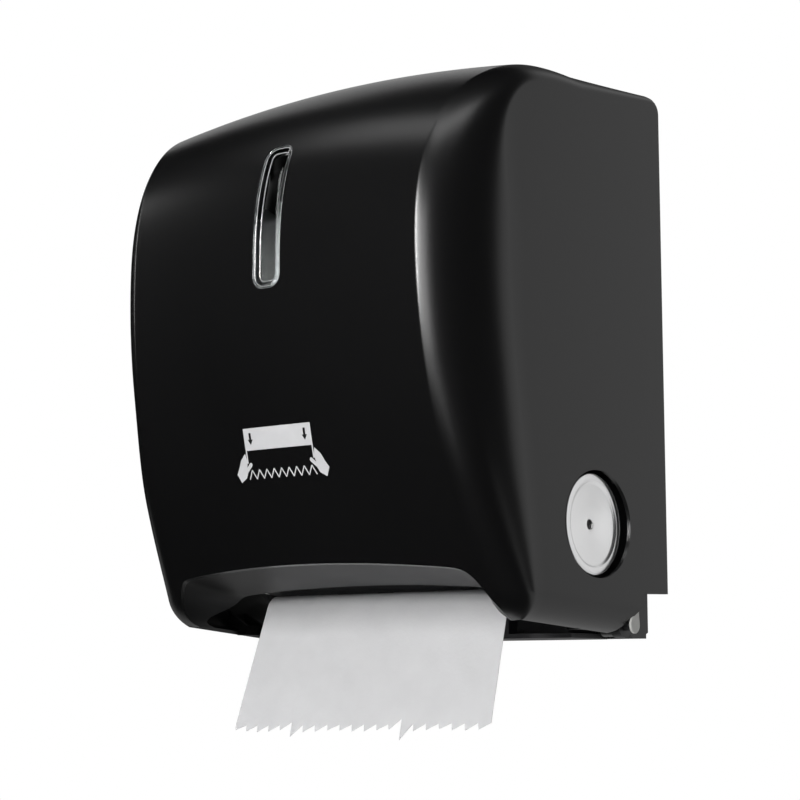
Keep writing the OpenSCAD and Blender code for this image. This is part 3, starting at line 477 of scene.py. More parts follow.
# black cover: lofted skin with crease lines, arched mouth with its flange, rolled lower edge, sizes in mm
cover = {
    "halfWidth": 165, "depth": 219.7, "roof": 194, "front": 55, "frontRadius": 514, "frontFall": 233,
    "wall": 2.5, "taper": math.tan(math.radians(5.2)), "topRun": 134, "topPower": 2.4,
    "rear": -1, "rearRound": 8, "rearColumns": (6, 4),
    # crease: place, angle and how both change over the roof and down the front
    "crease": 119, "spread": 9, "spreadPower": 1.5, "roofSpread": 21, "rearSpread": 27, "creaseTurn": 17,
    "roofTurn": 42, "rearTurn": 10, "creaseFade": (-20, 75), "creaseLean": 0.55, "creaseReach": (0.5, 0.14),
    "bow": {"front": 1, "foot": 15, "roof": 9.5, "rear": 6},
    "corner": {"front": 58, "foot": 10, "roof": 14, "rear": 8}, "cornerPower": 2.9,
    # degrees from the front over which the roof's values come in
    "roofBlend": {"corner": 70, "crease": 90, "turn": 60},
    "mouthHalf": 135.6, "mouthTop": -139, "mouthFoot": -176, "mouthBow": 5.2, "bowSpan": 110,
    "mouthFlare": 0.37, "mouthRound": 8,
    "flangeNarrow": (0.955, 0.9), "flangeLow": 0.69, "flangeBack": -120, "flangeThick": 2.2, "flangeFade": 4,
    "flangeRise": (0.5, 0.7), "flangeStep": 9, "flangeHollow": 0.6,
    "roll": 19, "rollTurn": math.radians(70), "rollRoom": 8, "fall": 0.075, "footY": -138,
    "hinge": (-36.5, -177), "edgeTop": 24, "notch": (8.9, 20), "notchSlope": 0.7,
    "rollEnds": (6, 0.3, -5.8, -8.4, -10.6, -14.5), "sideShares": (0, 0.4, 0.75, 1),
    # window: width, foot, top and corner, lock: y, hole and seat
    "window": (24, 35.5, 133, 9), "leastRound": 0.4, "knobHole": 34.5, "lock": (-16, 9, 14),
    "cutSpans": {"window": (-225, -130), "knob": (110, 180), "lockSeat": (190, 194.5), "lock": (174, 214)},
    # rows where roof, top curve, notch, front and rolled edge end, columns where front, corner and side end
    "rowEnds": (4, 15, 17, 22, 27), "columnEnds": (8, 14, 17), "footColumn": 9.21,
    "rowSteps": (4, 4, 7, 4), "columnSteps": (24, 6, 8, 24, 5), "windowSteps": (3, 10, 30),
    "holeSteps": (128, 64),
    "lipSteps": (0.12, 0.5, 1, 1.5, 1.9, 2, 2.3, 2.7, 3, 3.1, 3.5, 4, 4.5), "smooth": 32,
}
topY = -cover["depth"] + cover["topRun"]
topRise = cover["roof"] - cover["front"]
rollDepth = cover["roll"] * math.sin(cover["rollTurn"])
hingeY, hingeZ = cover["hinge"]
roofRow, topRow, notchRow, rollRow, lastRow = cover["rowEnds"]
creaseColumn, sideColumn, rearColumn = cover["columnEnds"]


def sideX(y):
    return cover["halfWidth"] + y * cover["taper"]


footX = sideX(cover["footY"])


def lowY(z):
    r = cover["frontRadius"]
    return -cover["depth"] + r - math.sqrt(r * r - (z - cover["front"]) ** 2)


def highY(z):
    n = cover["topPower"]
    return topY - cover["topRun"] * max(0.0, 1 - ((z - cover["front"]) / topRise) ** n) ** (1 / n)


def frontY(z):
    return lowY(z) if z < cover["front"] else highY(z)


def archZ(x):
    # flat bow on top, flared sides, softly joined
    foot, soft = cover["mouthFoot"], cover["mouthRound"]
    bow = cover["mouthTop"] - cover["mouthBow"] * (x / cover["bowSpan"]) ** 2
    flank = foot + (cover["mouthHalf"] - abs(x)) / cover["mouthFlare"]
    return max(foot, bow - soft * math.log(1 + math.exp((bow - flank) / soft)))


def flangeShare(x):
    return 1 - smoothStep((abs(x) - cover["mouthHalf"]) / cover["flangeFade"])


def bottomZ(y):
    # lower edge of the side falls towards the hinge
    return cover["mouthFoot"] - cover["fall"] * max(0.0, y - cover["footY"])


def rearDrop(y, k):
    r, (first, count) = cover["rearRound"], cover["rearColumns"]
    return smoothStep((k - first) / count) * (r - math.sqrt(r * r - max(0.0, y - cover["rear"] + r) ** 2))


def fallShare(z):
    # runs from 0 at the front's foremost place to 1 at its foot
    return (cover["front"] - z) / cover["frontFall"]


def frontBow(q):
    return cover["bow"]["front"] + cover["bow"]["foot"] * q * q


def creaseX(q):
    # half width of the flat front
    return cover["crease"] + cover["spread"] * q ** cover["spreadPower"]


def rollAngle(i):
    return cover["rollTurn"] * (i - rollRow) / (lastRow - rollRow)


def roofRowAt(i):
    corner, bow = cover["corner"], cover["bow"]
    rearX, roofX = (cover["crease"] + cover[key] for key in ("rearSpread", "roofSpread"))
    f = (i / roofRow) ** 2
    return (mix(cover["rear"], topY, f), cover["roof"], 0, -1,
            mix(bow["rear"], bow["front"] + bow["roof"], f), mix(corner["rear"], corner["roof"], f),
            mix(rearX, roofX, f), mix(cover["rearTurn"], cover["roofTurn"], f))


def topRowAt(i):
    n, corner, bow, blend = cover["topPower"], cover["corner"], cover["bow"], cover["roofBlend"]
    turn = 90 * (1 - (i - roofRow) / (topRow - roofRow))
    c, s = max(0.0, math.cos(math.radians(turn))), math.sin(math.radians(turn))
    y = topY - cover["topRun"] * c ** (2 / n)
    z = cover["front"] + topRise * s ** (2 / n)
    gy, gz = c ** (2 - 2 / n) / cover["topRun"], s ** (2 - 2 / n) / topRise
    g = math.hypot(gy, gz)
    return (y, z, gy / g, -gz / g, bow["front"] + bow["roof"] * ((z - cover["front"]) / topRise) ** 2,
            mix(corner["front"], corner["roof"], smoothStep(turn / blend["corner"])),
            cover["crease"] + cover["roofSpread"] * smoothStep(turn / blend["crease"]),
            mix(cover["creaseTurn"], cover["roofTurn"], smoothStep(turn / blend["turn"])))


def lowRowAt(i, zb):
    corner, (fadeStart, fadeRun) = cover["corner"], cover["creaseFade"]
    start = max(cover["mouthFoot"] + rollDepth, zb + cover["rollRoom"])
    if i <= rollRow:
        z = mix(cover["front"], start, (i - topRow) / (rollRow - topRow))
    else:
        z = start - (start - zb) * math.sin(rollAngle(i)) / math.sin(cover["rollTurn"])
    q = fallShare(z)
    return (lowY(z), z, 1, 0, frontBow(q), mix(corner["front"], corner["foot"], q ** cover["cornerPower"]),
            creaseX(q), cover["creaseTurn"] * (1 - smoothStep((fadeStart - z) / fadeRun)))


def coverRow(i, zb):
    # y, z, inward normal, bow, corner depth, crease x and crease angle of one row
    if i < roofRow:
        return roofRowAt(i)
    return topRowAt(i) if i <= topRow else lowRowAt(i, zb)


def cornerShare(k):
    return (k - creaseColumn) / (sideColumn - creaseColumn)


def footColumn(k):
    wide = cover["crease"] + cover["spread"]
    if k <= creaseColumn:
        return wide * math.sin(math.radians(90 * k / creaseColumn))
    return mix(wide, footX, math.sin(math.radians(90 * min(1, cornerShare(k)))))


def coverEdge(i):
    # back edge, notch above the hinge, cut-away round the hinge pin
    ny, nz = hingeY + cover["notch"][0], hingeZ + cover["notch"][1]
    above = nz + cover["notchSlope"]
    if i <= topRow:
        return (cover["rear"], mix(cover["roof"] - cover["edgeTop"], above, i / topRow))
    if i <= notchRow:
        return mixPoint((cover["rear"], above), (ny, nz), (i - topRow) / (notchRow - topRow))
    ends = cover["rollEnds"]
    if i <= rollRow:
        f = (i - notchRow) / (rollRow - notchRow)
        y = hingeY + ends[0]
        return (mix(ny, y, f * f), mix(nz, bottomZ(y) + rollDepth, f))
    n = min(len(ends) - 2, int(i - rollRow))
    y = hingeY + mix(ends[n], ends[n + 1], i - rollRow - n)
    return (y, bottomZ(y) + rollDepth - cover["roll"] * math.sin(rollAngle(i)))


def coverPoint(i, k, off):
    # a point of the cover, off is the depth below the outer face
    x = footColumn(min(k, sideColumn))
    zb = archZ(x) + (cover["flangeThick"] * flangeShare(x) if off > 0 else 0)
    y, z, ny, nz, bow, delta, xc, s0 = coverRow(i, zb)
    r = cover["roll"]
    turn = 0.0
    if i > topRow:
        turn = math.asin(max(0.0, min(1.0, (cover["mouthFoot"] + rollDepth - z) / r)))
    inset, deep = r * (1 - math.cos(turn)), off * math.cos(turn)
    z += off * math.sin(turn)
    sy, sz = y + (bow + delta) * ny, z + (bow + delta) * nz - rearDrop(y, k)
    sx = sideX(sy) - deep
    xc -= cover["creaseLean"] * deep
    if k <= creaseColumn:
        f = math.sin(math.radians(90 * k / creaseColumn))
        d = bow * f * f + deep + inset
        return (xc * f, y + d * ny, z + d * nz - rearDrop(y, k))
    if k <= sideColumn:
        s, t = math.radians(mix(s0, 90, cornerShare(k))), math.radians(s0)
        d = bow + (deep + inset) * math.cos(s) + delta * (math.cos(t) - math.cos(s)) / math.cos(t)
        across = (math.sin(s) - math.sin(t)) / (1 - math.sin(t))
        return (mix(xc, sx, across) - inset * math.sin(s), y + d * ny, z + d * nz - rearDrop(y, k))
    ey, ez = coverEdge(i)
    m, shares = k - sideColumn, cover["sideShares"]
    low = min(len(shares) - 2, int(m))
    f = mix(shares[low], shares[low + 1], m - low)
    py = mix(sy, ey, f)
    if i <= rollRow:
        return (sideX(py) - off, py, mix(sz, ez, f))
    turn, rest = rollAngle(i), r - off
    return (sideX(py) - r + rest * math.cos(turn), py, bottomZ(py) + rollDepth - rest * math.sin(turn))


def coverColumns():
    # columns of one half: flat front, soft crease, corner with the foot of the mouth, side
    before, after = cover["creaseReach"]
    flat, soft, near, turn, side = cover["columnSteps"]
    foot = cover["footColumn"]
    columns = [("k", (creaseColumn - before) * n / flat) for n in range(flat + 1)]
    columns += [("crease", n / soft) for n in range(1, soft)]
    columns += [("k", mix(creaseColumn + after, foot, n / near)) for n in range(near)]
    columns += [("k", mix(foot, sideColumn, n / turn)) for n in range(turn + 1)]
    columns += [("k", sideColumn + n / side) for n in range(1, (rearColumn - sideColumn) * side + 1)]
    return columns


def skinPoint(i, column, off):
    kind, value = column
    if kind == "k":
        return coverPoint(i, value, off)
    before, after = cover["creaseReach"]
    a, b, c = (coverPoint(i, k, off) for k in (creaseColumn - before, creaseColumn, creaseColumn + after))
    return mixPoint(mixPoint(a, b, value), mixPoint(b, c, value), value)


def lipPoint(n, column, outer, inner):
    # flange that runs back from the edge of the mouth, n counts round its section
    k = column[1] if column[0] == "k" else creaseColumn
    share = 0 if k > sideColumn else flangeShare(footColumn(k))
    foot, (narrowRise, backRise) = cover["mouthFoot"], cover["flangeRise"]
    rise = (outer[2] - foot) / (cover["mouthTop"] - foot)
    end = (outer[0] * mix(*cover["flangeNarrow"], smoothStep(rise / narrowRise)),
           mix(outer[1] + cover["flangeStep"], cover["flangeBack"], smoothStep(rise / backRise)),
           foot + (outer[2] - foot) * cover["flangeLow"])
    away = Vector((outer[0] - end[0], 0, outer[2] - end[2])).normalized()
    top = tuple(Vector(end) + away * cover["flangeThick"])
    under = tuple((Vector(outer) + Vector(end)) / 2 - away * cover["flangeHollow"])
    above = tuple((Vector(inner) + Vector(top)) / 2 - away * cover["flangeHollow"])
    stops = [outer, under, end, top, above, inner]
    rim = mixPoint(outer, inner, n / (len(stops) - 1))
    low = min(len(stops) - 2, int(n))
    return mixPoint(rim, mixPoint(stops[low], stops[low + 1], n - low), share)


def makeCover():
    rows = []
    ends = (0, roofRow, topRow, rollRow, lastRow)
    for start, end, steps in zip(ends, ends[1:], cover["rowSteps"]):
        rows += [start + n / steps for n in range((end - start) * steps)]
    rows.append(lastRow)
    half = coverColumns()
    outer = [[skinPoint(i, c, 0) for c in half] for i in rows]
    inner = [[skinPoint(i, c, cover["wall"]) for c in half] for i in rows]
    edge = list(zip(half, outer[-1], inner[-1]))
    lips = [[lipPoint(n, c, p, q) for c, p, q in edge] for n in cover["lipSteps"]]
    ring = outer + lips + inner[::-1]
    wide = 2 * len(half) - 1
    points = []
    for line in ring:
        points += [(-p[0], p[1], p[2]) for p in reversed(line[1:])] + line
    count, last = len(ring), len(rows) - 1
    faces = []
    for r in range(count):
        s = (r + 1) % count
        faces += [(r * wide + c, s * wide + c, s * wide + c + 1, r * wide + c + 1) for c in range(wide - 1)]
    for c in (0, wide - 1):
        for i in range(last - 1):
            faces.append(tuple(r * wide + c for r in (i, i + 1, count - 2 - i, count - 1 - i)))
        faces.append(tuple(r * wide + c for r in range(last - 1, count - last + 1)))
    piece = meshPiece("coverShell", points, faces, ["coverBlack", "coverInside"])
    # the flange behind the mouth and the inside are matt
    first, end = len(outer) * (wide - 1), (count - 1) * (wide - 1)
    for n, face in enumerate(piece.data.polygons):
        face.material_index = int(first <= n < end)
    return piece


def roundedLoop(width, low, high, radius, inset=0.0):
    # closed loop in x and z, symmetric about x = 0, from the lower middle round to the right
    across, corner, straight = cover["windowSteps"]
    r = max(cover["leastRound"], radius - inset)
    hw, lo, hi = width / 2 - inset, low + inset, high - inset
    turns = [math.radians(90 * n / corner) for n in range(1, corner + 1)]
    right = [((hw - r) * n / across, lo) for n in range(across + 1)]
    right += [(hw - r + r * math.sin(a), lo + r - r * math.cos(a)) for a in turns]
    right += [(hw, mix(lo + r, hi - r, n / straight)) for n in range(1, straight + 1)]
    right += [(hw - r + r * math.cos(a), hi - r + r * math.sin(a)) for a in turns]
    right += [((hw - r) * (1 - n / across), hi) for n in range(1, across + 1)]
    return right + [(-x, z) for x, z in right[-2:0:-1]]


def circleLoop(radius, count):
    turns = [2 * math.pi * n / count for n in range(count)]
    return [(radius * math.cos(a), radius * math.sin(a)) for a in turns]


def prism(name, loop, place, back, front):
    # straight cutter, place turns a loop point and a distance into x, y, z
    count = len(loop)
    points = [place(p, back) for p in loop] + [place(p, front) for p in loop]
    faces = [tuple(range(count)), tuple(range(2 * count - 1, count - 1, -1))]
    faces += [(n, n + count, (n + 1) % count + count, (n + 1) % count) for n in range(count)]
    piece = meshPiece(name, points, faces, "coverBlack")
    outward(piece)
    return piece


def throughFront(p, d):
    return (p[0], d, p[1])


def throughSide(p, d):
    return (d, knobY + p[0], knobZ + p[1])


def throughRoof(p, d):
    return (p[0], lockY + p[1], d)


def cutWith(piece, cutter, operation):
    cut = piece.modifiers.new("cut", "BOOLEAN")
    cut.operation, cut.solver, cut.object = operation, "EXACT", cutter
    applied(piece)
    bpy.data.objects.remove(cutter)


def cutCover(piece):
    spans, (knobSteps, lockSteps) = cover["cutSpans"], cover["holeSteps"]
    for name, loop, place, span, operation in (
            ("windowCut", roundedLoop(*cover["window"]), throughFront, spans["window"], "DIFFERENCE"),
            ("knobCut", circleLoop(cover["knobHole"], knobSteps), throughSide, spans["knob"], "DIFFERENCE"),
            ("lockSeat", circleLoop(lockSeat, lockSteps), throughRoof, spans["lockSeat"], "UNION"),
            ("lockCut", circleLoop(lockHole, lockSteps), throughRoof, spans["lock"], "DIFFERENCE")):
        cutWith(piece, prism(name, loop, place, *span), operation)


knobY, knobZ = drumAxis
lockY, lockHole, lockSeat = cover["lock"]
coverShell = makeCover()
outward(coverShell)
cutCover(coverShell)
smoothMesh(coverShell.data, cover["smooth"])
seat(coverShell, "cover", ["cover_shell"])
print("cover ready:", len(coverShell.data.polygons), "faces")


# clear window lens: two sloped steps down to a recessed pane, profile of inset, depth and cloudy edge
lens = {"profile": ((5.2, 4.0, 0), (0.1, 2.4, 1), (0.1, 1.0, 1), (0.5, 0.6, 0), (1.5, 1.3, 1), (2.1, 1.6, 0),
                    (4.9, 2.4, 1), (5.5, 2.8, 0)), "smooth": 25}


def makeLens():
    profile = lens["profile"]
    loops = [roundedLoop(*cover["window"], inset) for inset, _, _ in profile]
    points = []
    for loop, (_, depth, _) in zip(loops, profile):
        points += [(x, frontY(z) + depth, z) for x, z in loop]
    count = len(loops[0])
    faces = tubeFaces(count, len(profile))
    marks = [cloudy for _, _, cloudy in profile[:-1] for _ in range(count)]
    for base, flip in ((0, False), (len(points) - count, True)):
        for m in range(count // 2):
            quad = list(dict.fromkeys(base + n % count for n in (m, m + 1, -(m + 1), -m)))
            if len(quad) > 2:
                faces.append(tuple(reversed(quad)) if flip else tuple(quad))
                marks.append(0)
    piece = meshPiece("windowLens", points, faces, ["lensClear", "lensEdge"], lens["smooth"])
    for face, mark in zip(piece.data.polygons, marks):
        face.material_index = mark
    outward(piece)
    smoothMesh(piece.data, lens["smooth"])
    seat(piece, "cover", ["window_lens"])


makeLens()
print("lens ready")


def lathe(name, profile, place, finish, segments, angle):
    # closed profile of (radius, distance along the axis), turned about X
    points = []
    for c, s in circleLoop(1, segments):
        points += [(place[0] + d, place[1] + r * c, place[2] + r * s) for r, d in profile]
    piece = meshPiece(name, points, tubeFaces(len(profile), segments, True), finish, angle)
    outward(piece)
    smoothMesh(piece.data, angle)
    return piece


# dished feed knob, pairs of radius and depth, the rim's radii from its inner and outer edge
knob = {"radius": 32.5, "length": 11, "rim": 4.6, "sunk": 1.1, "hole": 3.2, "holeDeep": 6, "wall": 3,
        "backDeep": 6.5, "hub": 9.5, "bore": 5, "hubOut": 3, "segments": 160, "smooth": 24,
        "dish": ((3.2, -3.4), (3.4, -3.05), (3.9, -2.8), (4.6, -2.85), (6.5, -3.0), (12, -2.48), (18, -1.91),
                 (25, -1.25), (25.8, -1.15)),
        "rimInside": ((-1.4, -0.9), (-0.7, -0.45), (-0.3, -0.15), (0.15, 0)),
        "rimOutside": ((-0.9, 0), (-0.45, -0.1), (-0.1, -0.45), (0, -0.9))}


def makeKnob():
    r, hub, bore = knob["radius"], knob["hub"], knob["bore"]
    foot, back, hubEnd = -knob["length"], -knob["backDeep"], -knob["length"] - knob["hubOut"]
    profile = list(knob["dish"])
    profile += [(r - knob["rim"] + u, d) for u, d in knob["rimInside"]]
    profile += [(r + u, d) for u, d in knob["rimOutside"]]
    profile += [(r, foot), (r - knob["wall"], foot), (r - knob["wall"], back), (hub, back), (hub, hubEnd),
                (bore, hubEnd), (bore, -knob["holeDeep"]), (knob["hole"], -knob["holeDeep"])]
    face = sideX(knobY) - cover["wall"] - knob["sunk"]
    piece = lathe("feedKnob", profile, (face, knobY, knobZ), "knobSilver", knob["segments"], knob["smooth"])
    seat(piece, "drum", ["feed_knob"])


makeKnob()
print("knob ready")


# hinge pins: rod through the ear with a flat pear-shaped head, rod and neck painted dark as the shade behind
# the head
pin = {"radius": 3.5, "neck": 3.9, "head": 5.8, "tip": 10.4, "tipTurn": 62, "start": 136.0, "ear": 153.0,
       # the painted shade on the rod and neck stops this far short of the head
       "plate": 1.6, "bevel": 0.4, "sunk": 1, "paintedShadeGap": 0.1, "arcSteps": 40,
       "toTip": (0.4, 0.8, 0.92), "fromTip": (0.08, 0.2, 0.6), "smooth": 30}


def pearLoop(inset):
    # round below, drawn out to a soft tip towards the top
    turn, gap = math.radians(pin["tipTurn"]), math.acos(pin["head"] / pin["tip"])
    r, steps = pin["head"] - inset, pin["arcSteps"]
    loop = [(r * math.cos(a), r * math.sin(a))
            for a in (turn + gap + (2 * math.pi - 2 * gap) * n / steps for n in range(steps + 1))]
    far = pin["tip"] - inset * pin["tip"] / pin["head"]
    tip = (far * math.cos(turn), far * math.sin(turn))
    near = [mixPoint(loop[-1], tip, f) for f in pin["toTip"]]
    back = [mixPoint(tip, loop[0], f) for f in pin["fromTip"]]
    soft = mixPoint(mixPoint(near[-1], back[0], 0.5), tip, 0.5)
    return loop + near + [soft] + back


def makePins():
    end, bevel = sideX(hingeY) - pin["sunk"], pin["bevel"]
    plate = end - pin["plate"]
    count = len(pearLoop(0))
    rod, neck = (circleLoop(pin[key], count) for key in ("radius", "neck"))
    slim, full = pearLoop(bevel), pearLoop(0)
    rings = [(rod, pin["start"]), (rod, pin["ear"]), (neck, pin["ear"]), (neck, plate), (slim, plate),
             (full, plate + bevel), (full, end - bevel), (slim, end)]
    points, faces = [], []
    for side in (-1, 1):
        base = len(points)
        for ring, x in rings:
            points += [(side * x, hingeY + y, hingeZ + z) for y, z in ring]
        faces += tubeFaces(count, len(rings), base=base)
        faces += [tuple(range(base, base + count)), tuple(range(len(points) - count, len(points)))]
    piece = meshPiece("hingePins", points, faces, ["palePlastic", "darkPlastic"], pin["smooth"])
    for face in piece.data.polygons:
        # painted shade: rod and neck take the dark plastic as the shade behind the head, the head stays pale
        face.material_index = int(abs(face.center.x) * 1000 < plate - pin["paintedShadeGap"])
    outward(piece)
    smoothMesh(piece.data, pin["smooth"])
    seat(piece, "chassis", ["hinge_pins"])


makePins()
print("hinge pins ready")


# part-used roll, layers step in and out a little at the ends
roll = {"radius": 80, "core": 20, "layers": 30, "step": 0.25, "waver": 2.4, "layerEdges": (0.08, 0.92),
        "segments": 96, "smooth": 40}


def makeRoll():
    half, core, layers = paperWidth / 2, roll["core"], roll["layers"]
    right, span = [(core, half)], roll["radius"] - core
    for n in range(layers):
        d = half - roll["step"] * (0.5 + 0.5 * math.sin(n * roll["waver"]))
        right += [(core + span * (n + edge) / layers, d) for edge in roll["layerEdges"]]
    right.append((roll["radius"], half))
    profile = right + [(r, -d) for r, d in reversed(right)]
    piece = lathe("paperRoll", profile, (0, *rollAxis), "rollPaper", roll["segments"], roll["smooth"])
    seat(piece, "roll", ["paper_roll"])


makeRoll()
print("roll ready")


# paper from the roll, behind and under the drum and out of the mouth
web = {"width": paperWidth, "thick": 0.3, "wrap": 39.86, "bend": 12, "bendBack": 10,
       "lean": 18.5, "twist": 3.1, "tongue": 92, "pitch": 9.4, "slant": 9, "tip": 0.1, "cutBack": 8.4,
       "evenCut": 4, "tooth": (3.4, 1.6, 137), "long": {5: 4.0, 14: 6.0}, "deep": {5: 2.0, 14: 3.5},
       "curl": 0.5, "curlSpan": 0.9, "ripple": 0.5, "rippleSpan": 17,
       "lineSteps": (12, 30, 14), "rows": 30, "toothSteps": (0, 0.05, 0.1, 0.3, 0.55, 0.8), "smooth": 60}


def leanAt(x):
    # the sheet hangs a little twisted
    return math.radians(web["lean"] - web["twist"] * 2 * x / web["width"])


def webLine(lean):
    dy, dz = drumAxis
    ry, rz = rollAxis
    free, wound, bent = web["lineSteps"]
    wrap, r = web["wrap"] + web["thick"] / 2, web["bend"] - web["thick"] / 2
    far = math.hypot(dy - ry, dz - rz)
    start = math.atan2(dz - rz, dy - ry) + math.acos((roll["radius"] - web["wrap"]) / far)
    reach = roll["radius"] + web["thick"] / 2
    leaves = (ry + reach * math.cos(start), rz + reach * math.sin(start))
    meets = (dy + wrap * math.cos(start), dz + wrap * math.sin(start))
    line = [mixPoint(leaves, meets, n / free) for n in range(free)]
    line += [(dy + wrap * math.cos(a), dz + wrap * math.sin(a))
             for a in (mix(start, -math.pi / 2, n / wound) for n in range(wound + 1))]
    by, bz = dy - web["bendBack"], dz - web["wrap"] - web["bend"]
    line += [(by + r * math.cos(a), bz + r * math.sin(a))
             for a in (mix(math.pi / 2, math.pi - lean, n / bent) for n in range(bent + 1))]
    return line


def tornLength(x):
    # uneven teeth left by the blade
    count = math.floor(web["width"] / web["pitch"])
    pitch = web["width"] / count
    place = (x + web["width"] / 2) / pitch
    k = min(count - 1, int(place))
    f = place - k
    least, more, turn = web["tooth"]
    high = least + more * abs(math.sin(turn * k * math.pi / 180)) + web["long"].get(k, 0)
    before, after = (-web["deep"].get(n, 0) for n in (k, k + 1))
    tip = web["tip"]
    cutLine = mix(before, high, f / tip) if f < tip else mix(high, after, (f - tip) / (1 - tip))
    return web["tongue"] - web["cutBack"] + cutLine - web["slant"] * x / web["width"]


def makeWeb():
    line, half, rows = webLine(leanAt(0)), web["width"] / 2, web["rows"]
    count = math.floor(web["width"] / web["pitch"])
    places = [k + f for k in range(count) for f in web["toothSteps"]]
    columns = [-half + place * web["width"] / count for place in places] + [half]
    points, faces = [], []
    for x in columns:
        lean = leanAt(x)
        path = webLine(lean)
        endY, endZ = path[-1]
        points += [(x, y, z) for y, z in path]
        length = tornLength(x)
        for n in range(1, rows + 1):
            f = n / rows
            d = length * f
            wave = web["curl"] * f * math.sin(math.pi * x / half * web["curlSpan"])
            wave += web["ripple"] * f * f * math.cos(x / web["rippleSpan"])
            points.append((x, endY - d * math.sin(lean) + wave, endZ - d * math.cos(lean)))
    tall = len(line) + rows
    for c in range(len(columns) - 1):
        a, b = c * tall, (c + 1) * tall
        faces += [(a + n, a + n + 1, b + n + 1, b + n) for n in range(tall - 1)]
    piece = meshPiece("paperWeb", points, faces, "paper", web["smooth"])
    thick = piece.modifiers.new("thick", "SOLIDIFY")
    thick.thickness, thick.offset = web["thick"] / 1000, 0
    applied(piece)
    smoothMesh(piece.data, web["smooth"])
    seat(piece, "chassis", ["paper_web"])


makeWeb()


# printed towel sign on the front, plain shapes of its own: plate with arrows, two hands and the toothed edge
sign = {"top": -52, "plate": (56.5, 14.0), "lift": 0.06, "markLift": 0.05, "teeth": 9, "tooth": (26.4, 32.2),
        "stroke": 0.85, "line": 1.0, "lineFoot": 22, "mesh": 3.5, "passes": 4, "smooth": 60,
        # half shaft, shaft length, half head, whole length, place from the plate's corner
        "arrow": (0.9, 4.2, 2.1, 7.6), "arrowPlace": (5.4, 3.0),
        "hand": ((-0.9, 15.6), (-5.4, 19.8), (-7.9, 24.6), (-10.5, 28.4), (-7.7, 33.9), (-2.7, 31.2),
                 (-0.8, 27.8), (3.4, 24.2), (4.1, 22.9), (3.2, 21.6), (1.9, 22.0), (-0.7, 24.6), (0.2, 20.8))}


def frontSurface(x, z):
    q = fallShare(z)
    return lowY(z) + frontBow(q) * (x / creaseX(q)) ** 2


def signPiece(name, outlines, finish, lift):
    shape = bmesh.new()
    for outline in outlines:
        shape.faces.new([shape.verts.new((x, 0, z)) for x, z in outline])
    shape.normal_update()
    bmesh.ops.triangulate(shape, faces=shape.faces)
    for _ in range(sign["passes"]):
        longEdges = [e for e in shape.edges if e.calc_length() > sign["mesh"]]
        if longEdges:
            bmesh.ops.subdivide_edges(shape, edges=longEdges, cuts=1)
            shape.normal_update()
            bmesh.ops.triangulate(shape, faces=shape.faces)
    shape.verts.index_update()
    points = [(v.co.x, frontSurface(v.co.x, v.co.z) - lift, v.co.z) for v in shape.verts]
    faces = [tuple(v.index for v in f.verts) for f in shape.faces]
    shape.free()
    piece = meshPiece(name, points, faces, finish, sign["smooth"])
    outward(piece)
    # an open print: its faces look forward
    shape = bmesh.new()
    shape.from_mesh(piece.data)
    if sum(f.normal.y for f in shape.faces) > 0:
        bmesh.ops.reverse_faces(shape, faces=shape.faces)
    shape.to_mesh(piece.data)
    shape.free()
    smoothMesh(piece.data, sign["smooth"])
    seat(piece, "cover")


def arrowDown(x, z):
    thin, neck, wide, tip = sign["arrow"]
    return [(x - thin, z), (x - thin, z - neck), (x - wide, z - neck), (x, z - tip), (x + wide, z - neck),
            (x + thin, z - neck), (x + thin, z)]


def hand(side):
    # simple mitten with a thumb towards the sheet
    half = sign["plate"][0] / 2
    outline = [(side * (half - u), sign["top"] - v) for u, v in sign["hand"]]
    return outline if side > 0 else outline[::-1]


def stroke(a, b, wide):
    dx, dz = b[0] - a[0], b[1] - a[1]
    size = math.hypot(dx, dz)
    nx, nz = -dz / size * wide / 2, dx / size * wide / 2
    return [(a[0] + nx, a[1] + nz), (a[0] - nx, a[1] - nz), (b[0] - nx, b[1] - nz), (b[0] + nx, b[1] + nz)]


def zigzag():
    high, low = (sign["top"] - v for v in sign["tooth"])
    step = sign["plate"][0] / (2 * sign["teeth"])
    line = [(-sign["plate"][0] / 2 + n * step, high if n % 2 else low) for n in range(2 * sign["teeth"] + 1)]
    return [stroke(a, b, sign["stroke"]) for a, b in zip(line, line[1:])]


def makeSign():
    wide, tall = sign["plate"]
    top, half, line, lift = sign["top"], wide / 2, sign["line"], sign["lift"]
    plate = [(-half, top), (-half, top - tall), (half, top - tall), (half, top)]
    foot = top - sign["lineFoot"]
    edges = [stroke((x, top - tall), (x, foot), line) for x in (line / 2 - half, half - line / 2)]
    signPiece("signPlate", [plate] + edges + [hand(1), hand(-1)] + zigzag(), "signInk", lift)
    inset, drop = sign["arrowPlace"]
    arrows = [arrowDown(x, top - drop) for x in (inset - half, half - inset)]
    signPiece("signMarks", arrows, "signDark", lift + sign["markLift"])


makeSign()
print("sign ready")


# ribbed rubber bands round the rear half of the drum
bands = {"count": 6, "step": 36.0, "width": 8.0, "inner": 39.0, "outer": 39.4, "ribs": 46, "ribRadius": 0.5,
         "ribPlace": 39.3, "ribSides": 10, "ribShort": 0.4, "edge": 3.0, "arcSteps": 40, "smooth": 35}


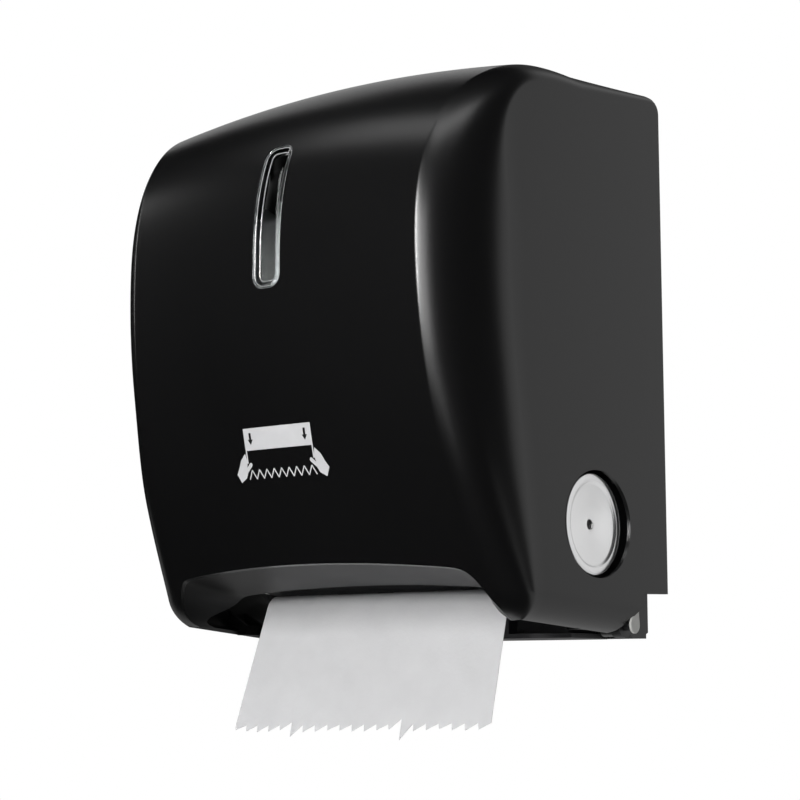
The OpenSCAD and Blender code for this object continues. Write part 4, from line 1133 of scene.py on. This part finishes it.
def bandTree():
    tree = bpy.data.node_groups.new("ribbedBands", "GeometryNodeTree")
    tree.interface.new_socket("Geometry", in_out="OUTPUT", socket_type="NodeSocketGeometry")
    tree.interface.new_socket("Geometry", in_out="INPUT", socket_type="NodeSocketGeometry")
    kinds = {"Bands": "Int", "First Band": "Vector", "Band Step": "Vector", "Ribs": "Int",
             "Rib Radius": "Float", "Rib Length": "Float", "Rib Place": "Float", "Start Angle": "Float",
             "Sweep": "Float", "Finish": "Material"}
    for name, kind in kinds.items():
        tree.interface.new_socket(name, in_out="INPUT", socket_type="NodeSocket" + kind)
    given = tree.nodes.new("NodeGroupInput")
    out = tree.nodes.new("NodeGroupOutput")
    arc = tree.nodes.new("GeometryNodeCurveArc")
    rib = addNode(tree, "GeometryNodeMeshCylinder", {"Vertices": bands["ribSides"]})
    ribs = tree.nodes.new("GeometryNodeInstanceOnPoints")
    turn = addNode(tree, "GeometryNodeTransform", {"Rotation": (0, math.pi / 2, 0)})
    both = tree.nodes.new("GeometryNodeJoinGeometry")
    line = tree.nodes.new("GeometryNodeMeshLine")
    copies = tree.nodes.new("GeometryNodeInstanceOnPoints")
    real = tree.nodes.new("GeometryNodeRealizeInstances")
    paint = tree.nodes.new("GeometryNodeSetMaterial")
    for source, node, socket in (
            ("Ribs", arc, "Resolution"), ("Rib Place", arc, "Radius"), ("Start Angle", arc, "Start Angle"),
            ("Sweep", arc, "Sweep Angle"), ("Rib Radius", rib, "Radius"), ("Rib Length", rib, "Depth"),
            ("Geometry", both, "Geometry"), ("Bands", line, "Count"), ("First Band", line, "Start Location"),
            ("Band Step", line, "Offset"), ("Finish", paint, "Material")):
        tree.links.new(given.outputs[source], node.inputs[socket])
    for source, node, socket in (
            (arc.outputs["Curve"], ribs, "Points"), (rib.outputs["Mesh"], ribs, "Instance"),
            (ribs.outputs["Instances"], turn, "Geometry"), (turn.outputs["Geometry"], both, "Geometry"),
            (line.outputs["Mesh"], copies, "Points"), (both.outputs["Geometry"], copies, "Instance"),
            (copies.outputs["Instances"], real, "Geometry"), (real.outputs["Geometry"], paint, "Geometry"),
            (paint.outputs["Geometry"], out, "Geometry")):
        tree.links.new(source, node.inputs[socket])
    return tree


def makeBands():
    half, steps, edge = bands["width"] / 2, bands["arcSteps"], math.radians(bands["edge"])
    inner, outer = bands["inner"], bands["outer"]
    section = ((inner, -half), (outer, -half), (outer, half), (inner, half))
    points, count = [], len(section)
    for n in range(steps + 1):
        a = mix(-math.pi / 2 + edge, math.pi / 2 - edge, n / steps)
        points += [(x, r * math.cos(a), r * math.sin(a)) for r, x in section]
    faces = tubeFaces(count, steps + 1)
    faces += [tuple(range(count)), tuple(steps * count + c for c in reversed(range(count)))]
    piece = meshPiece("gripBands", points, faces, "rubber")
    outward(piece)
    dy, dz = (c / 1000 for c in drumAxis)
    tree = bandTree()
    values = {"Bands": bands["count"], "First Band": (-bands["step"] * (bands["count"] - 1) / 2000, dy, dz),
              "Band Step": (bands["step"] / 1000, 0, 0), "Ribs": bands["ribs"],
              "Rib Radius": bands["ribRadius"] / 1000, "Rib Place": bands["ribPlace"] / 1000,
              "Rib Length": (bands["width"] - bands["ribShort"]) / 1000,
              "Start Angle": 2 * edge, "Sweep": math.pi - 4 * edge, "Finish": materials["rubber"]}
    ribbed = piece.modifiers.new("ribbed", "NODES")
    ribbed.node_group = tree
    for item in tree.interface.items_tree:
        if item.in_out == "INPUT" and item.name in values:
            ribbed[item.identifier] = values[item.name]
    applied(piece)
    smoothMesh(piece.data, bands["smooth"])
    seat(piece, "drum", ["grip_bands"])
    print("bands ready:", len(piece.data.polygons), "faces")


makeBands()


# spring behind the right roll arm, it shortens as the arm slides out
spring = {"radius": 4.0, "wire": 0.5, "turns": 5, "from": 126.1, "to": 149.4, "axis": (-21, 38), "around": 26,
          "sides": 8, "keep": 0.27, "smooth": 50}


def makeSpring():
    turns, sides, (cy, cz) = spring["turns"], spring["sides"], spring["axis"]
    radius, wire = spring["radius"], spring["wire"]
    low, high = spring["from"] + wire, spring["to"] - wire
    steps = turns * spring["around"]
    points = []
    for n in range(steps + 1):
        a = 2 * math.pi * turns * n / steps
        out = Vector((0, math.cos(a), math.sin(a)))
        along = Vector(((high - low) / (2 * math.pi * turns), -radius * math.sin(a), radius * math.cos(a)))
        across = along.normalized().cross(out)
        middle = Vector((mix(low, high, n / steps), cy, cz)) + out * radius
        points += [tuple(middle + wire * (c * out + s * across)) for c, s in circleLoop(1, sides)]
    faces = tubeFaces(sides, steps + 1)
    faces += [tuple(range(sides)), tuple(steps * sides + c for c in reversed(range(sides)))]
    piece = meshPiece("armSpring", points, faces, "steel", spring["smooth"])
    outward(piece)
    smoothMesh(piece.data, spring["smooth"])
    seat(piece, "chassis", ["arm_spring"])
    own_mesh(piece)


makeSpring()
print("arm spring ready")


# finishes for the nodes that keep their CAD shape
nodeFinish = {
    "framePlastic": ["back_plate", "left_cheek", "right_cheek", "base_tray", "left_roll_arm",
                     "right_roll_arm"],
    "coverBlack": ["hinge_arms"],
    "darkPlastic": ["exit_guide", "drum_front", "drum_rear", "drum_end_left", "drum_end_right", "crank_disc",
                    "pinch_frame", "knob_screw"],
    "palePlastic": ["drum_bushes", "cutter_cam", "blade_carrier", "cam_follower", "left_hub", "right_hub"],
    "rubber": ["pinch_rollers"],
    "steel": ["lock_housing", "lock_barrel", "lock_cam", "lock_keeper", "cheek_screws", "spring_post",
              "return_spring", "drum_shaft", "crank_pin", "cutting_blade", "pinch_pivot", "pinch_spring",
              "pinch_shaft", "arm_rail"],
    "cardboard": ["roll_core"],
}
for finishName, names in nodeFinish.items():
    for name in names:
        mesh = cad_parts[name].data
        mesh.materials.clear()
        mesh.materials.append(materials[finishName])
print("CAD finishes set")
